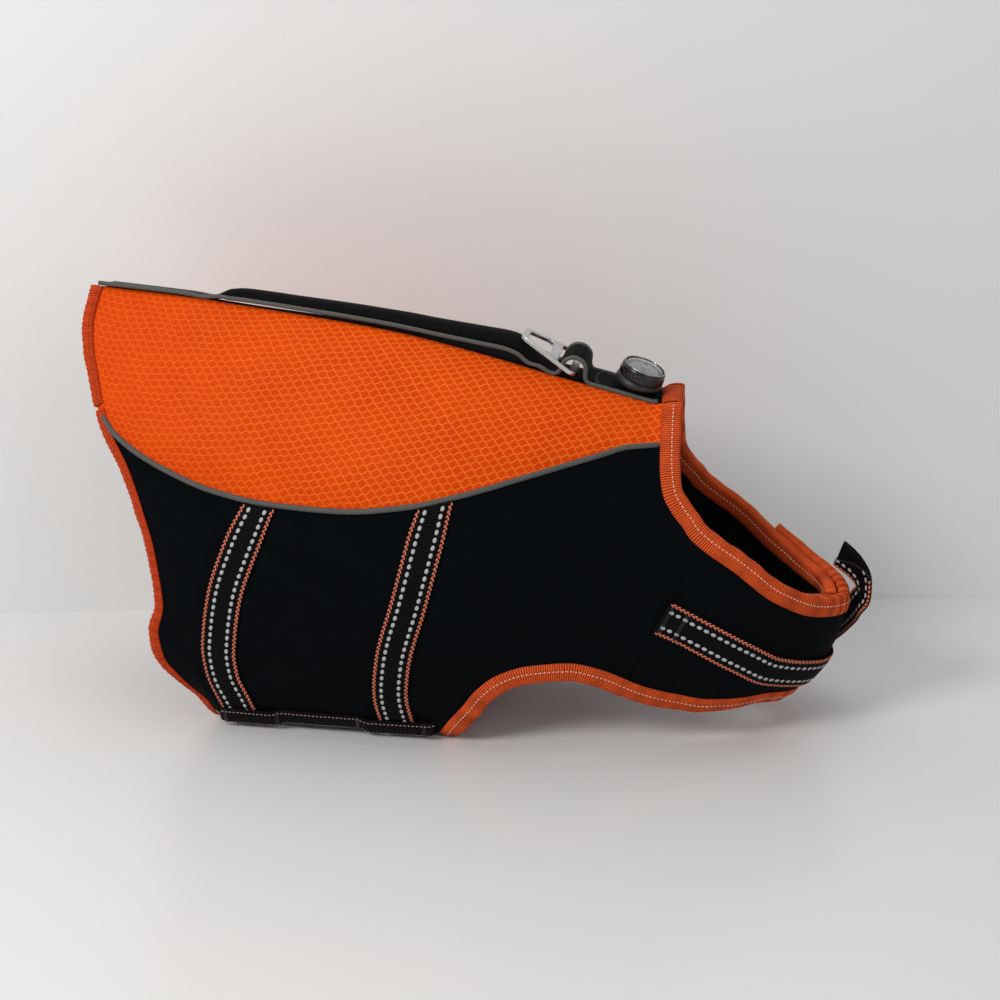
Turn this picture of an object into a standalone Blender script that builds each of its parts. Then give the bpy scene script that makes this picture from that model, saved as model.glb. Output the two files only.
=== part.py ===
"""Dog life jacket, standing on its own belly, filled out with nobody in it.

The neck end is towards +X, the jacket's left side (the near one) is towards -Y and Z is up. Sizes in this
file are millimetres, turned into metres when a mesh is made.

The whole garment follows one form. A point of the form has two coordinates: "along", the way from the rear
edge to the neck and on round the chest to the other side, and "turn", the way up its cross-section: 1 at the
spine, 0 at the widest level, -1 where the belly begins and -2 at the middle of the belly. Each panel is a
patch of that form with a thickness, and what lies on a panel is made from the same points, moved outwards.
"""

from math import cos, pi, radians, sin, tau

import bmesh
import bpy
import numpy as np

MM = 0.001
CENTRING = np.array([-0.7, 0.0, 0.2])
NEAR, FAR = -1, 1
SIDES = {"near": NEAR, "far": FAR}

# ---- Driving dimensions ----
CHEST_START = 150.0      # along which the sides begin to turn in round the chest
CHEST_DEPTH = 99.0       # from there to the foremost point
CHEST_TURN = 84.0        # way along the form for each radian round the chest
FRONT = CHEST_START + CHEST_TURN * pi / 2
FLAP_END = 362.0         # along which each chest flap stops, on the other side of the front
FLAP_LAP = 9.0           # how far the outer flap stands off the inner one where they lap
RIDGE_TURN = radians(62)  # how far the section has turned in where it meets the spine

CLOTH = 3.0              # neoprene, and the seam allowance of the foam panels
FOAM_OUT, FOAM_IN = 2.0, 6.0   # how far the foam swells outwards and inwards from that
WEBBING = 1.6
WEBBING_HALF = 12.5
SEAM_GAP = 0.6           # between pieces that are sewn together
STRAP_GAP = 1.1          # under a strap that crosses the round chest
GIRTH_GAP = 0.7          # and under the girth straps
TAPE = 1.2               # edge binding
TAPE_DEPTH = 12.0        # how far it reaches over each face of the panel
REAR_TAPE_DEPTH = 6.5    # the elastic rear binding is narrower
TAPE_GAP, TAPE_GAP_IN = 0.9, 1.6   # between it and the panel's outer and inner face
PIPING_R = 1.9
RIM_TUCK = 7.0           # how far the elastic binding pulls the rear rim in
RIM_TUCK_WIDTH = 24.0
COLLAR_FLARE = 7.0       # how far the collar stands up at the neck end of the spine
FLARE_START, FLARE_LENGTH = 118.0, 20.0
KEEPER_HALF = 9.0

RIDGE_PULL, LOW_PULL = 54.0, 57.0   # how much shorter the chest is at the ridge and at the low level

FORM_COLUMNS = ("along", "half_width", "ridge", "wide", "low", "ridge_half", "low_half", "lean", "low_turn")
FORM_ROWS = (
    (-275, 80, 303.5, 135, 18, 14.3, 46, -11, 85),
    (-195, 88, 296.0, 128, 9, 14.3, 52, -11, 88),
    (-172, 91, 293.0, 125, 2.1, 14.3, 54, -11, 90),
    (-60, 95, 278.5, 116, 2.1, 14.3, 55, -6, 90),
    (0, 93, 266.5, 113, 2.1, 14.3, 55, 0, 90),
    (60, 85, 252.0, 112, 4, 14.3, 50, 6, 88),
    (124, 72.5, 236.0, 110, 12, 14.3, 42, 7, 82),
    (150, 68, 229.0, 108, 13, 14.3, 36, 7, 80),
    (216, 68, 210.0, 99, 17, 14.3, 30, 7, 75),
    (282, 68, 198.0, 95, 20, 14.3, 28, 7, 72),
)
PIPING_ROWS = (  # along, z of the seam between foam panel and side panel
    (-254, 230), (-243, 216), (-194, 190), (-164, 181), (-132, 175.5), (-80, 173), (-37, 177), (-9, 183),
    (44, 197), (88, 208), (106, 212), (138, 213),
)
REAR_ROWS = (  # z, along of the rear edge
    (8, -186), (22, -197), (38, -210), (55, -220), (75, -222), (97, -216), (133, -219), (164, -227),
    (191, -237), (214, -250), (229, -256), (252, -263), (267, -268), (285, -271), (305, -270),
)
NECK_ROWS = (  # along, z of the neck edge below the foam panel, as far as the front
    (138, 213), (138.5, 200), (141, 186), (156, 165), (183, 143), (208, 121), (238, 107), (282, 100),
)
LOWER_ROWS = (  # along, z of the leg opening and the lower edge of the chest
    (-10, 2), (-2, 14), (8, 27), (17, 40), (29, 50), (45, 55.5), (70, 57.5), (87, 53), (117, 38), (140, 30),
    (166, 26), (190, 26), (230, 27.5), (282, 30),
)
SIDE_FRONT_ROWS = (  # z, along of the chest seam, then of the neck edge above it
    (42.5, 108), (70, 118), (85, 126), (115, 141), (150, 151.5), (165, 155.4), (177, 146.8), (186, 141),
    (200, 138.5), (213, 138),
)
GIRTH_ROWS = {  # z, along of each girth strap's middle line, from the piping down to the belly
    "rear": ((2, -159), (26, -164), (47, -170), (63, -171), (80, -169), (110, -163), (143, -151), (180, -134)),
    "front": ((2, -47), (19, -49), (39, -51), (66, -48), (113, -35), (180, -18)),
}
CHEST_STRAP_ROWS = ((132, 103), (154, 91), (182, 73), (209, 58), (232, 53), (262, 51), (300, 51))  # along, z
KEEPER_TURN = -0.74
BELLY_ALONG = np.array([-186, -178.5, -173.3, -146, -110, -73, -36, -22, -10])   # grid columns
ARCH_STEPS = np.array([0, 0.025, 0.055, 0.095, 0.145, 0.21, 0.3, 0.42, 0.55, 0.68, 0.82, 1])   # leg opening
SEAM_Z = np.array([42.5, 48.8, 57, 69, 86, 111, 137, 153.5, 163.5])      # grid rows up the chest seam
FLAP_COLUMNS = 19
KEEPER_ENDS = (-176.0, -23.0)

# Middle line of the top webbing over the spine base: along, height and the webbing's thickness there. It is
# sewn down at the rear, lifts off as the grab handle, comes down, goes over the ring's bar and is sewn down
# again under the lamp.
TOP_COLUMNS = ("along", "up", "thick")
HANDLE_ROWS = (
    (-267, 1.4, 1.6), (-192, 1.4, 1.6), (-184, 3.4, 2.4), (-176, 7.6, 4), (-164, 9.4, 4.4), (-115, 9.8, 4.5),
    (-41, 10.8, 4.5), (0, 13.2, 4.5), (18, 14.4, 4.5), (25, 13.6, 4), (34, 9.0, 3), (43, 3.6, 2), (48, 1.5, 1.6),
)
LOOP_CENTRE = (64.0, 8.6)      # along, up
LOOP_R = 8.0
TOP_END = 123.0
SPINE_ENDS = (-268.0, 137.5)
SPINE_BASE_HALF, SPINE_BASE = 11.9, 2.0
TOP_PIPING_R = 1.7

# Leash ring: distances from its hinge axis, and half widths
RING_AXIS_UP = 6.5
RING_REST = radians(17)        # above the line of the spine, lying back on the handle
RING_BAR, RING_SLOT, RING_CROSSBAR, RING_HOLE, RING_REACH = 2.5, 12.7, 19.2, 37.5, 42.0
RING_HALF, RING_TIP_HALF, RING_SIDE = 22.1, 9.5, 4.2
RING_THICK = 3.2

# Lamp: along which it sits, and its turned sizes
LAMP_ALONG = 107.0
LAMP_TILT = radians(6)
LAMP_FOOT_R, LAMP_FOOT_H = 12.0, 2.8   # narrower than the webbing, so that it clears the pipings
LAMP_BASE_R, LAMP_BASE_H = 16.6, 7.4
LAMP_CAP_R, LAMP_CAP_BORE, LAMP_CAP_H = 15.8, 13.4, 8.6
LAMP_LENS_R, LAMP_LENS_RISE = 13.0, 1.6
KNURLS = 24
KNURL = 0.7

BUCKLE_START, BUCKLE_SPLIT, BUCKLE_END = 330.0, 347.0, 385.0
BUCKLE_HALF, BUCKLE_THICK = 15.5, 7.0
BUCKLE_LEVEL, BUCKLE_RISE = 56.0, 0.2    # z at its start, and how fast its line rises along
BUCKLE_STAND = 2.8       # the flat buckle stands off the round chest along its middle by this little
BUCKLE_ENTRY = 5.2       # how far the straps rise to the middle of its end faces

TAIL_COLUMNS = ("x", "y", "z", "across_x", "across_y", "across_z")
TAIL_ROWS = (
    (235.6, 51.7, 48.7, 0.40, 0.42, 0.81), (244.9, 43.5, 53.0, 0.30, 0.50, 0.80),
    (252.5, 32.5, 60.5, 0.15, 0.67, 0.73), (257.5, 22, 70.5, 0.00, 0.75, 0.60), (262, 11.5, 81.5, -0.12, 0.85, 0.40),
    (265.5, 2, 92.5, -0.25, 0.93, 0.15), (269, -3, 102, -0.35, 0.93, -0.10), (268, -1, 111, -0.42, 0.80, -0.40),
    (262.5, 5, 118, -0.40, 0.60, -0.65), (252.5, 13.5, 124, -0.40, 0.51, -0.76),
)
TAIL_HEM = 12.0

ORANGE = (0.83, 0.11, 0.008, 1)
CORAL = (0.80, 0.15, 0.03, 1)
NEOPRENE = (0.006, 0.007, 0.010, 1)
BLACK_WEB = (0.010, 0.010, 0.012, 1)
GREY_TRIM = (0.10, 0.10, 0.10, 1)
SATIN = (0.55, 0.56, 0.56, 1)
CLEAR = (0.45, 0.47, 0.48, 1)


# ---- Tables and smooth steps ----
def smooth_through(rows, key, value, at):
    """Monotone cubic through two columns of a table, straight on past its ends."""
    xs = np.array([row[key] for row in rows], float)
    ys = np.array([row[value] for row in rows], float)
    slope = np.diff(ys) / np.diff(xs)
    before, after = slope[:-1], slope[1:]
    same = before * after > 0
    inner = np.where(same, 2 * before * after / np.where(same, before + after, 1), 0)
    ends = np.concatenate([slope[:1], inner, slope[-1:]])
    at = np.asarray(at, float)
    i = np.clip(np.searchsorted(xs, at) - 1, 0, len(xs) - 2)
    step = xs[i + 1] - xs[i]
    t = np.clip((at - xs[i]) / step, 0, 1)
    past = at - np.clip(at, xs[0], xs[-1])
    here = (ys[i] * (1 + 2 * t) * (1 - t) ** 2 + ys[i + 1] * t * t * (3 - 2 * t)
            + step * (ends[i] * t * (1 - t) ** 2 + ends[i + 1] * t * t * (t - 1)))
    return here + past * np.where(past < 0, slope[0], slope[-1])


def form_value(name, along):
    """A column of the form's table at these places, mirrored past the front."""
    folded = FRONT - np.abs(np.asarray(along, float) - FRONT)
    folded = np.where(np.asarray(along) < FRONT, along, folded)
    return smooth_through(FORM_ROWS, 0, FORM_COLUMNS.index(name), folded)


def ease(x):
    """Smooth step from 0 to 1."""
    x = np.clip(x, 0, 1)
    return x * x * (3 - 2 * x)


# ---- The form ----
def form(side, along, turn):
    """Point of the form.

    On the plan the widest level is a straight side, then half an ellipse round the chest. Above and below
    it the section draws in: the sides by `inset`, and the chest, on a shorter ellipse, by `pull`.
    """
    along, turn = np.broadcast_arrays(np.asarray(along, float), np.asarray(turn, float))
    half, wide, low, low_half = (form_value(name, along) for name in ("half_width", "wide", "low", "low_half"))
    lean = np.sin(np.radians(form_value("lean", along)))
    ridge_half = form_value("ridge_half", along)
    ridge = form_value("ridge", along) + side * ridge_half * lean
    low_turn = np.radians(form_value("low_turn", along))
    up = np.maximum(turn, 0) * RIDGE_TURN
    down = -np.clip(turn, -1, 0) * low_turn
    over = (1 - np.cos(up)) / (1 - cos(RIDGE_TURN))
    under = (1 - np.cos(down)) / (1 - np.cos(low_turn))
    z = wide + (ridge - wide) * np.sin(up) / sin(RIDGE_TURN) - (wide - low) * np.sin(down) / np.sin(low_turn)
    inset = (half - ridge_half) * over + (half - low_half) * under - low_half * np.minimum(turn + 1, 0)
    pull = RIDGE_PULL * over + LOW_PULL * under
    rim = np.clip(1 - (along - smooth_through(REAR_ROWS, 0, 1, z)) / RIM_TUCK_WIDTH, 0, 1.5) ** 2
    rim = rim * (0.25 + 0.75 * ease(np.abs(z - 62) / 45)) * ease((z - 4) / 20) * (1 - over)
    flare = COLLAR_FLARE * ease((along - FLARE_START) / FLARE_LENGTH) * ease((z - 190) / 50)
    around = np.clip((along - CHEST_START) / CHEST_TURN, 0, pi)
    x = np.minimum(along, CHEST_START) + (CHEST_DEPTH - pull) * np.sin(around)
    y = (half - inset - RIM_TUCK * rim + flare * np.cos(up)) * np.cos(around)
    return np.stack([x, side * y, z + flare * np.sin(up)], -1)


def slopes(side, along, turn):
    """How the form moves for a small step along and a small turn."""
    d_along = (form(side, along + 0.2, turn) - form(side, along - 0.2, turn)) / 0.4
    d_turn = (form(side, along, turn + 0.002) - form(side, along, turn - 0.002)) / 0.004
    return d_along, d_turn


def unit(vectors):
    return vectors / np.linalg.norm(vectors, axis=-1, keepdims=True)


def skin(side, along, turn, out):
    """Point of the form moved out along its normal."""
    along, turn = np.broadcast_arrays(np.asarray(along, float), np.asarray(turn, float))
    d_along, d_turn = slopes(side, along, turn)
    normal = -side * unit(np.cross(d_along, d_turn))
    return form(side, along, turn) + normal * np.broadcast_to(out, along.shape)[..., None]


def turn_at(side, along, z):
    """The turn at which the section reaches this height."""
    along, z = np.broadcast_arrays(np.asarray(along, float), np.asarray(z, float))
    wide, low = form_value("wide", along), form_value("low", along)
    lean = np.sin(np.radians(form_value("lean", along)))
    ridge = form_value("ridge", along) + side * form_value("ridge_half", along) * lean
    low_turn = np.radians(form_value("low_turn", along))
    up = np.arcsin(np.clip((z - wide) / (ridge - wide) * sin(RIDGE_TURN), 0, 0.999)) / RIDGE_TURN
    down = np.arcsin(np.clip((wide - z) / (wide - low) * np.sin(low_turn), 0, 1)) / low_turn
    return np.minimum(up, 1) - np.minimum(down, 1)


def beside(side, along, turn, step, distance):
    """Form coordinates of the points at a distance across a line on the form, to the left of its direction.

    The line's direction is step, in form coordinates. The way across is worked out in space and brought
    back through the form's two slopes by least squares.
    """
    d_along, d_turn = slopes(side, along, turn)
    ahead = unit(d_along * step[:, :1] + d_turn * step[:, 1:])
    across = np.cross(-side * unit(np.cross(d_along, d_turn)), ahead)
    aa, bb, ab = (np.sum(p * q, -1) for p, q in ((d_along, d_along), (d_turn, d_turn), (d_along, d_turn)))
    ca, cb = np.sum(across * d_along, -1), np.sum(across * d_turn, -1)
    det = aa * bb - ab * ab
    move = np.stack([(ca * bb - cb * ab) / det, (cb * aa - ca * ab) / det], -1)
    return along + distance * move[:, 0], turn + distance * move[:, 1]


def spine(along, across, up):
    """Point over the spine: across it, towards the far side, and up from the level of the foam panels."""
    along, across, up = np.broadcast_arrays(*(np.asarray(v, float) for v in (along, across, up)))

    def middle(a):
        flare = COLLAR_FLARE * ease((a - FLARE_START) / FLARE_LENGTH) * sin(RIDGE_TURN)
        return np.stack([a, 0 * a, form_value("ridge", a) + flare], -1)

    ahead = unit(middle(along + 0.5) - middle(along - 0.5))
    lean = np.radians(form_value("lean", along))[..., None]
    aside = np.broadcast_to([0.0, 1.0, 0.0], ahead.shape)
    above = np.stack([-ahead[..., 2], ahead[..., 1], ahead[..., 0]], -1)
    return (middle(along) + across[..., None] * (aside * np.cos(lean) + above * np.sin(lean))
            + up[..., None] * (above * np.cos(lean) - aside * np.sin(lean)))


# ---- Making solids ----
def placed(points):
    """Points of the form in the part's own frame, in metres: over the middle of its box, resting on z = 0."""
    return (np.asarray(points) + CENTRING) * MM


def material(name, color, roughness, metallic=0.0):
    made = bpy.data.materials.new(name)
    made.use_nodes = True
    shader = made.node_tree.nodes["Principled BSDF"]
    shader.inputs["Base Color"].default_value = color
    shader.inputs["Roughness"].default_value = roughness
    shader.inputs["Metallic"].default_value = metallic
    return made


def solid(name, points, faces, color, roughness=0.85, metallic=0.0, parent=None):
    """Closed mesh object from points in millimetres; a parent's place is taken off the points."""
    origin = parent.location if parent else (0, 0, 0)
    mesh = bpy.data.meshes.new(name)
    mesh.from_pydata((placed(points) - np.array(origin)).tolist(), [], faces)
    work = bmesh.new()
    work.from_mesh(mesh)
    bmesh.ops.recalc_face_normals(work, faces=work.faces)
    work.to_mesh(mesh)
    work.free()
    mesh.materials.append(material(name + "_finish", color, roughness, metallic))
    made = bpy.data.objects.new(name, mesh)
    made.parent = parent
    bpy.context.collection.objects.link(made)
    return made


def wall(name, outer, inner, color, **finish):
    """Solid between two grids of points of the same size."""
    rows, columns = outer.shape[:2]
    index = np.arange(rows * columns).reshape(rows, columns)
    cells = np.stack([index[:-1, :-1], index[1:, :-1], index[1:, 1:], index[:-1, 1:]], -1).reshape(-1, 4)
    rim = np.concatenate([index[:, 0], index[-1, 1:], index[-2::-1, -1], index[0, -2:0:-1]])
    count = rows * columns
    sides = np.stack([rim, np.roll(rim, -1), np.roll(rim, -1) + count, rim + count], -1)
    faces = np.concatenate([cells, cells + count, sides])
    points = np.concatenate([outer.reshape(-1, 3), inner.reshape(-1, 3)])
    return solid(name, points, faces.tolist(), color, **finish)


def sweep(name, rings, color, closed=False, **finish):
    """Solid swept through rings of points, capped at its ends unless it closes on itself."""
    stations, corners = rings.shape[:2]
    index = np.arange(stations * corners).reshape(stations, corners)
    ahead = np.roll(index, -1, 0) if closed else index[1:]
    here = index if closed else index[:-1]
    cells = np.stack([here, ahead, np.roll(ahead, -1, 1), np.roll(here, -1, 1)], -1).reshape(-1, 4)
    faces = cells.tolist()
    if not closed:
        faces += [index[0].tolist(), index[-1, ::-1].tolist()]
    return solid(name, rings.reshape(-1, 3), faces, color, **finish)


# ---- Edges and patches of the form ----
def even(first, last, count):
    return np.linspace(first, last, count)


def along_edge_at(side, rows, along):
    """Line given by a table of along and z, as form coordinates, mirrored past the front."""
    folded = np.where(along < FRONT, along, 2 * FRONT - along)
    return np.stack([along, turn_at(side, along, smooth_through(rows, 0, 1, folded))], -1)


def along_edge(side, rows, first, last, count):
    """The same between two places along, at even steps."""
    return along_edge_at(side, rows, even(first, last, count))


def up_edge_at(side, rows, z):
    """Line given by a table of z and along, as form coordinates."""
    along = smooth_through(rows, 0, 1, z)
    return np.stack([along, turn_at(side, along, z)], -1)


def fractions(line, side):
    """How far along a line each of its points lies in space, from 0 to 1."""
    points = form(side, line[:, 0], line[:, 1])
    way = np.concatenate([[0], np.cumsum(np.linalg.norm(np.diff(points, axis=0), axis=1))])
    return way / way[-1]


def resample(line, count, side):
    """The same line with this many points evenly spaced in space, or with points at these fractions of it."""
    steps = even(0, 1, count) if np.isscalar(count) else count
    way = fractions(line, side)
    return np.stack([np.interp(steps, way, line[:, k]) for k in (0, 1)], -1)


def trimmed(line, side, before, after):
    """The same line with its ends cut short by these distances."""
    points = form(side, line[:, 0], line[:, 1])
    way = np.concatenate([[0], np.cumsum(np.linalg.norm(np.diff(points, axis=0), axis=1))])
    kept = way[(way > before + 1) & (way < way[-1] - after - 1)]
    at = np.concatenate([[before], kept, [way[-1] - after]])
    return np.stack([np.interp(at, way, line[:, k]) for k in (0, 1)], -1)


def pick(line, steps):
    """Points of a line at these fractions of its point count."""
    places = even(0, 1, len(line))
    return np.stack([np.interp(steps, places, line[:, k]) for k in (0, 1)], -1)


def patch(bottom, top, rear, front, u, v):
    """Coons patch: bottom and top hold a point for each step u, rear and front one for each step v."""
    u_grid, v_grid = u[:, None, None], v[None, :, None]
    across = bottom[:, None] * (1 - v_grid) + top[:, None] * v_grid
    upward = rear[None] * (1 - u_grid) + front[None] * u_grid
    corners = ((bottom[0] * (1 - v_grid) + top[0] * v_grid) * (1 - u_grid)
               + (bottom[-1] * (1 - v_grid) + top[-1] * v_grid) * u_grid)
    return across + upward - corners


def shift_line(side, line, distance):
    """A line on the form moved sideways on it, to its left."""
    along, turn = beside(side, line[:, 0], line[:, 1], np.gradient(line, axis=0), distance)
    return np.stack([along, turn], -1)


def lap(side, along):
    """How far a chest flap is moved out (near, outer flap) or in (far, inner flap) where the two lap."""
    if side == NEAR:
        return FLAP_LAP * ease((along - 212) / 66)
    return -FLAP_LAP * ease((along - (2 * FRONT - 278)) / 66)


def binding(name, side, line, left, depth=TAPE_DEPTH, lapped=False):
    """Folded tape round a panel's edge: a U that reaches over both faces.

    left is 1 where the panel lies to the left of the line and -1 where it lies to the right.
    """
    gap, outer, inner = TAPE_GAP, TAPE_GAP + TAPE, -CLOTH - TAPE_GAP_IN
    profile = (
        (depth, outer), (-gap, outer), (-gap - 0.8 * TAPE, -0.5 * CLOTH), (-gap, inner - TAPE), (depth, inner - TAPE),
        (depth, inner), (-gap, inner), (-gap, gap), (depth, gap),
    )
    step = np.gradient(line, axis=0)
    ring = []
    for inward, out in profile:
        along, turn = beside(side, line[:, 0], line[:, 1], step, -left * side * inward)
        ring.append(skin(side, along, turn, out + (lap(side, along) if lapped else 0)))
    sweep(name, np.stack(ring, 1), CORAL, roughness=0.7)


def ribbon_rings(side, line, half, low, thick, lanes=4):
    """Rings of a flat strap that follows a line on the form; low(along) is its height off the form."""
    step = np.gradient(line, axis=0)
    upper, lower = [], []
    for across in even(-half, half, lanes):
        along, turn = beside(side, line[:, 0], line[:, 1], step, across)
        upper.append(skin(side, along, turn, low(along) + thick))
        lower.append(skin(side, along, turn, low(along)))
    return np.stack(upper + lower[::-1], 1)


# ---- Grids of the panels, in form coordinates ----
def foam_grid(side):
    """Foam panel's grid from the piping seam up to the spine, and how much the foam swells at each point."""
    u = np.concatenate([[0, 0.018, 0.043, 0.08], even(0.14, 0.87, 10), [0.925, 0.964, 1]])
    v = np.array([0, 0.08, 0.22, 0.4, 0.6, 0.78, 0.92, 1])
    seam = shift_line(side, along_edge(side, PIPING_ROWS, -256, 138, 60), side * -(PIPING_R + SEAM_GAP))
    top = np.stack([even(-270, 138, 60), np.ones(60)], -1)
    rear_z = smooth_through(((0, 230), (1, 303)), 0, 1, v[1:-1])
    rear = np.stack([smooth_through(REAR_ROWS, 0, 1, rear_z), turn_at(side, -260, rear_z)], -1)
    rear = np.concatenate([seam[:1], rear, top[:1]])
    front = np.stack([np.full(len(v), 138.0), seam[-1, 1] + (1 - seam[-1, 1]) * v], -1)
    front[0] = seam[-1]
    grid = patch(pick(seam, u), pick(top, u), rear, front, u, v)
    swell = (ease((u - 0.018) / 0.1) * ease((0.964 - u) / 0.1))[:, None] * ease(v / 0.22) * ease((1 - v) / 0.22)
    return grid, swell


def seam_steps(side):
    """The side panel's front column, and how far up it each row lies, from 0 to 1, measured by its turn."""
    top_z = smooth_through(PIPING_ROWS, 0, 1, 138.0) - PIPING_R - SEAM_GAP
    front = up_edge_at(side, SIDE_FRONT_ROWS, np.concatenate([SEAM_Z, [174.0, 186.0, 198.0, top_z]]))
    return front, (front[:, 1] - front[0, 1]) / (front[-1, 1] - front[0, 1])


def side_grid(side):
    """Side panel's grid from the belly edge and the leg opening up to the piping.

    Its front column is the chest seam, then the neck edge.
    """
    front, v = seam_steps(side)
    belly = np.stack([BELLY_ALONG, np.full(len(BELLY_ALONG), -1.0)], -1)
    arch = resample(along_edge(side, LOWER_ROWS, -10, 108, 90), ARCH_STEPS, side)[1:]
    lower = np.concatenate([belly, arch[:-1], front[:1]])
    over_arch = -15 + 153 * (ARCH_STEPS + even(0, 1, len(ARCH_STEPS))) / 2
    upper_along = np.concatenate([[-255.5, -247, -239], even(-212, -15, len(BELLY_ALONG) - 3), over_arch[1:]])
    upper = shift_line(side, along_edge_at(side, PIPING_ROWS, upper_along), side * (PIPING_R + SEAM_GAP))
    upper[-1] = front[-1]
    rear_turn = -1 + v * (upper[0, 1] + 1)
    rear = up_edge_at(side, REAR_ROWS, form(side, -220, rear_turn)[:, 2])
    rear = np.concatenate([lower[:1], rear[1:-1], upper[:1]])
    return patch(lower, upper, rear, front, fractions(lower, side), v)


def flap_grid(side):
    """Chest flap's grid from the chest seam round the front to its end on the other side."""
    steps = np.concatenate([even(0, 1 - 12 / 205, FLAP_COLUMNS - 1), [1]])
    lower = along_edge_at(side, LOWER_ROWS, 109.5 + (FLAP_END - 8 - 109.5) * steps)
    upper = along_edge_at(side, NECK_ROWS, 157.0 + (FLAP_END - 157.0) * steps)
    front, v = seam_steps(side)
    seam = shift_line(side, front[:len(SEAM_Z)], side * 0.9)
    v = v[:len(SEAM_Z)] / v[len(SEAM_Z) - 1]
    rear = np.concatenate([lower[:1], seam[1:-1], upper[:1]])
    end = lower[-1] * (1 - v[:, None]) + upper[-1] * v[:, None]
    return patch(lower, upper, rear, end, steps, v)


# ---- Panels ----
def panel(name, side, grid, out, back, color):
    """Wall on a grid of the form, from `back` to `out` along the form's normal."""
    outer = skin(side, grid[..., 0], grid[..., 1], out)
    inner = skin(side, grid[..., 0], grid[..., 1], back)
    wall(name, outer, inner, color)


def make_panels(side, label):
    """Foam panel, neoprene side and chest flap of one side."""
    grid, swell = foam_grid(side)
    panel("foam_panel_" + label, side, grid, FOAM_OUT * swell, -CLOTH - FOAM_IN * swell, ORANGE)
    panel("side_panel_" + label, side, side_grid(side), 0, -CLOTH, NEOPRENE)
    grid = flap_grid(side)
    moved = lap(side, grid[..., 0])
    panel("chest_flap_" + label, side, grid, moved, moved - CLOTH, NEOPRENE)


def make_belly_panel():
    """Flat neoprene belly between the two sides."""
    along = np.concatenate([[-185.5], BELLY_ALONG[1:]])
    outer, inner = [], []
    for side in (NEAR, FAR):
        edge = -1 - SEAM_GAP / 54
        turns = np.array([edge, -1.5, -2]) if side == NEAR else np.array([-1.5, edge])
        outer.append(skin(side, along[:, None], turns[None], 0))
        inner.append(skin(side, along[:, None], turns[None], -CLOTH))
    wall("belly_panel", np.concatenate(outer, 1), np.concatenate(inner, 1), NEOPRENE)


# ---- Trim ----
def make_piping(side, label):
    """Grey piping cord in the seam between foam panel and side panel."""
    line = along_edge(side, PIPING_ROWS, -240, 124.5, 23)
    step = np.gradient(line, axis=0)
    ring = []
    for angle in even(0, tau, 5)[:-1]:
        along, turn = beside(side, line[:, 0], line[:, 1], step, PIPING_R * cos(angle))
        ring.append(skin(side, along, turn, 0.6 + PIPING_R * sin(angle)))
    sweep("side_piping_" + label, np.stack(ring, 1), GREY_TRIM, roughness=0.45)


def make_bindings(side, label):
    """The tapes of one side, each round the panels' own edge points.

    They are the rear edge above and below the piping, the neck edge, the leg opening with the chest's
    lower edge, and the chest flap's end.
    """
    foam, lower, flap = foam_grid(side)[0], side_grid(side), flap_grid(side)
    binding("rear_binding_foam_" + label, side, trimmed(foam[0], side, 4, 1), -1, REAR_TAPE_DEPTH)
    binding("rear_binding_side_" + label, side, trimmed(lower[0], side, 2, 9), -1, REAR_TAPE_DEPTH)
    neck = np.concatenate([foam[-1, :0:-1], lower[-1, :len(SEAM_Z) - 1:-1], flap[:, -1]])
    binding("neck_binding_" + label, side, neck, -1, lapped=True)
    leg = np.concatenate([lower[len(BELLY_ALONG) - 1:-1, 0], flap[:, 0]])
    binding("leg_binding_" + label, side, leg, 1, lapped=True)
    end = trimmed(flap[-1], side, TAPE_DEPTH + 3, 2 * TAPE_DEPTH + 2)
    binding("flap_end_binding_" + label, side, end, 1, lapped=True)


def make_belly_bindings():
    """Tapes across the rear and the front of the belly, the front one reaching the ground."""
    for name, along, facing in (("belly_binding_rear", -185.5, 1), ("belly_binding_front", -10.0, -1)):
        gap, outer, inner = GIRTH_GAP, GIRTH_GAP + WEBBING - 0.2, -CLOTH - GIRTH_GAP
        profile = (
            (TAPE_DEPTH, outer), (-gap, outer), (-gap - TAPE, -0.5 * CLOTH), (-gap, inner - TAPE),
            (TAPE_DEPTH, inner - TAPE), (TAPE_DEPTH, inner), (-gap, inner), (-gap, gap), (TAPE_DEPTH, gap),
        )
        rings = []
        for side, turns in ((NEAR, (-1.02, -1.5, -2)), (FAR, (-1.5, -1.02))):
            ring = [skin(side, along + facing * inward, np.array(turns), out) for inward, out in profile]
            rings.append(np.stack(ring, 1))
        sweep(name, np.concatenate(rings), CORAL, roughness=0.7)


# ---- Straps on the panels ----
def strap_clearance(along, centres):
    """1 where a keeper has to arch over a girth strap, 0 where it lies on the panel."""
    nearest = np.min([np.abs(along - c) for c in centres], axis=0)
    return ease((30 - nearest) / 9)


def make_girth_strap(which):
    """Webbing from the near piping down, under the belly and up to the far piping."""
    rows = GIRTH_ROWS[which]
    halves = []
    for side in (NEAR, FAR):
        top_z = smooth_through(PIPING_ROWS, 0, 1, rows[-1][1]) - 9
        flank = up_edge_at(side, rows, even(top_z, 50, 7))
        turns = np.concatenate([even(flank[-1, 1], -1.0, 8)[1:], [-1.08, -1.5, -2]])
        along = np.concatenate([smooth_through(rows, 0, 1, form(side, rows[1][1], turns[:7])[:, 2]),
                                np.full(3, rows[0][1])])
        line = np.concatenate([flank, np.stack([along, turns], -1)])
        rings = ribbon_rings(side, line, side * WEBBING_HALF, lambda a: GIRTH_GAP, WEBBING, 3)
        halves.append(rings if side == NEAR else rings[-2::-1])
    sweep("girth_strap_" + which, np.concatenate(halves), BLACK_WEB)


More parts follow.
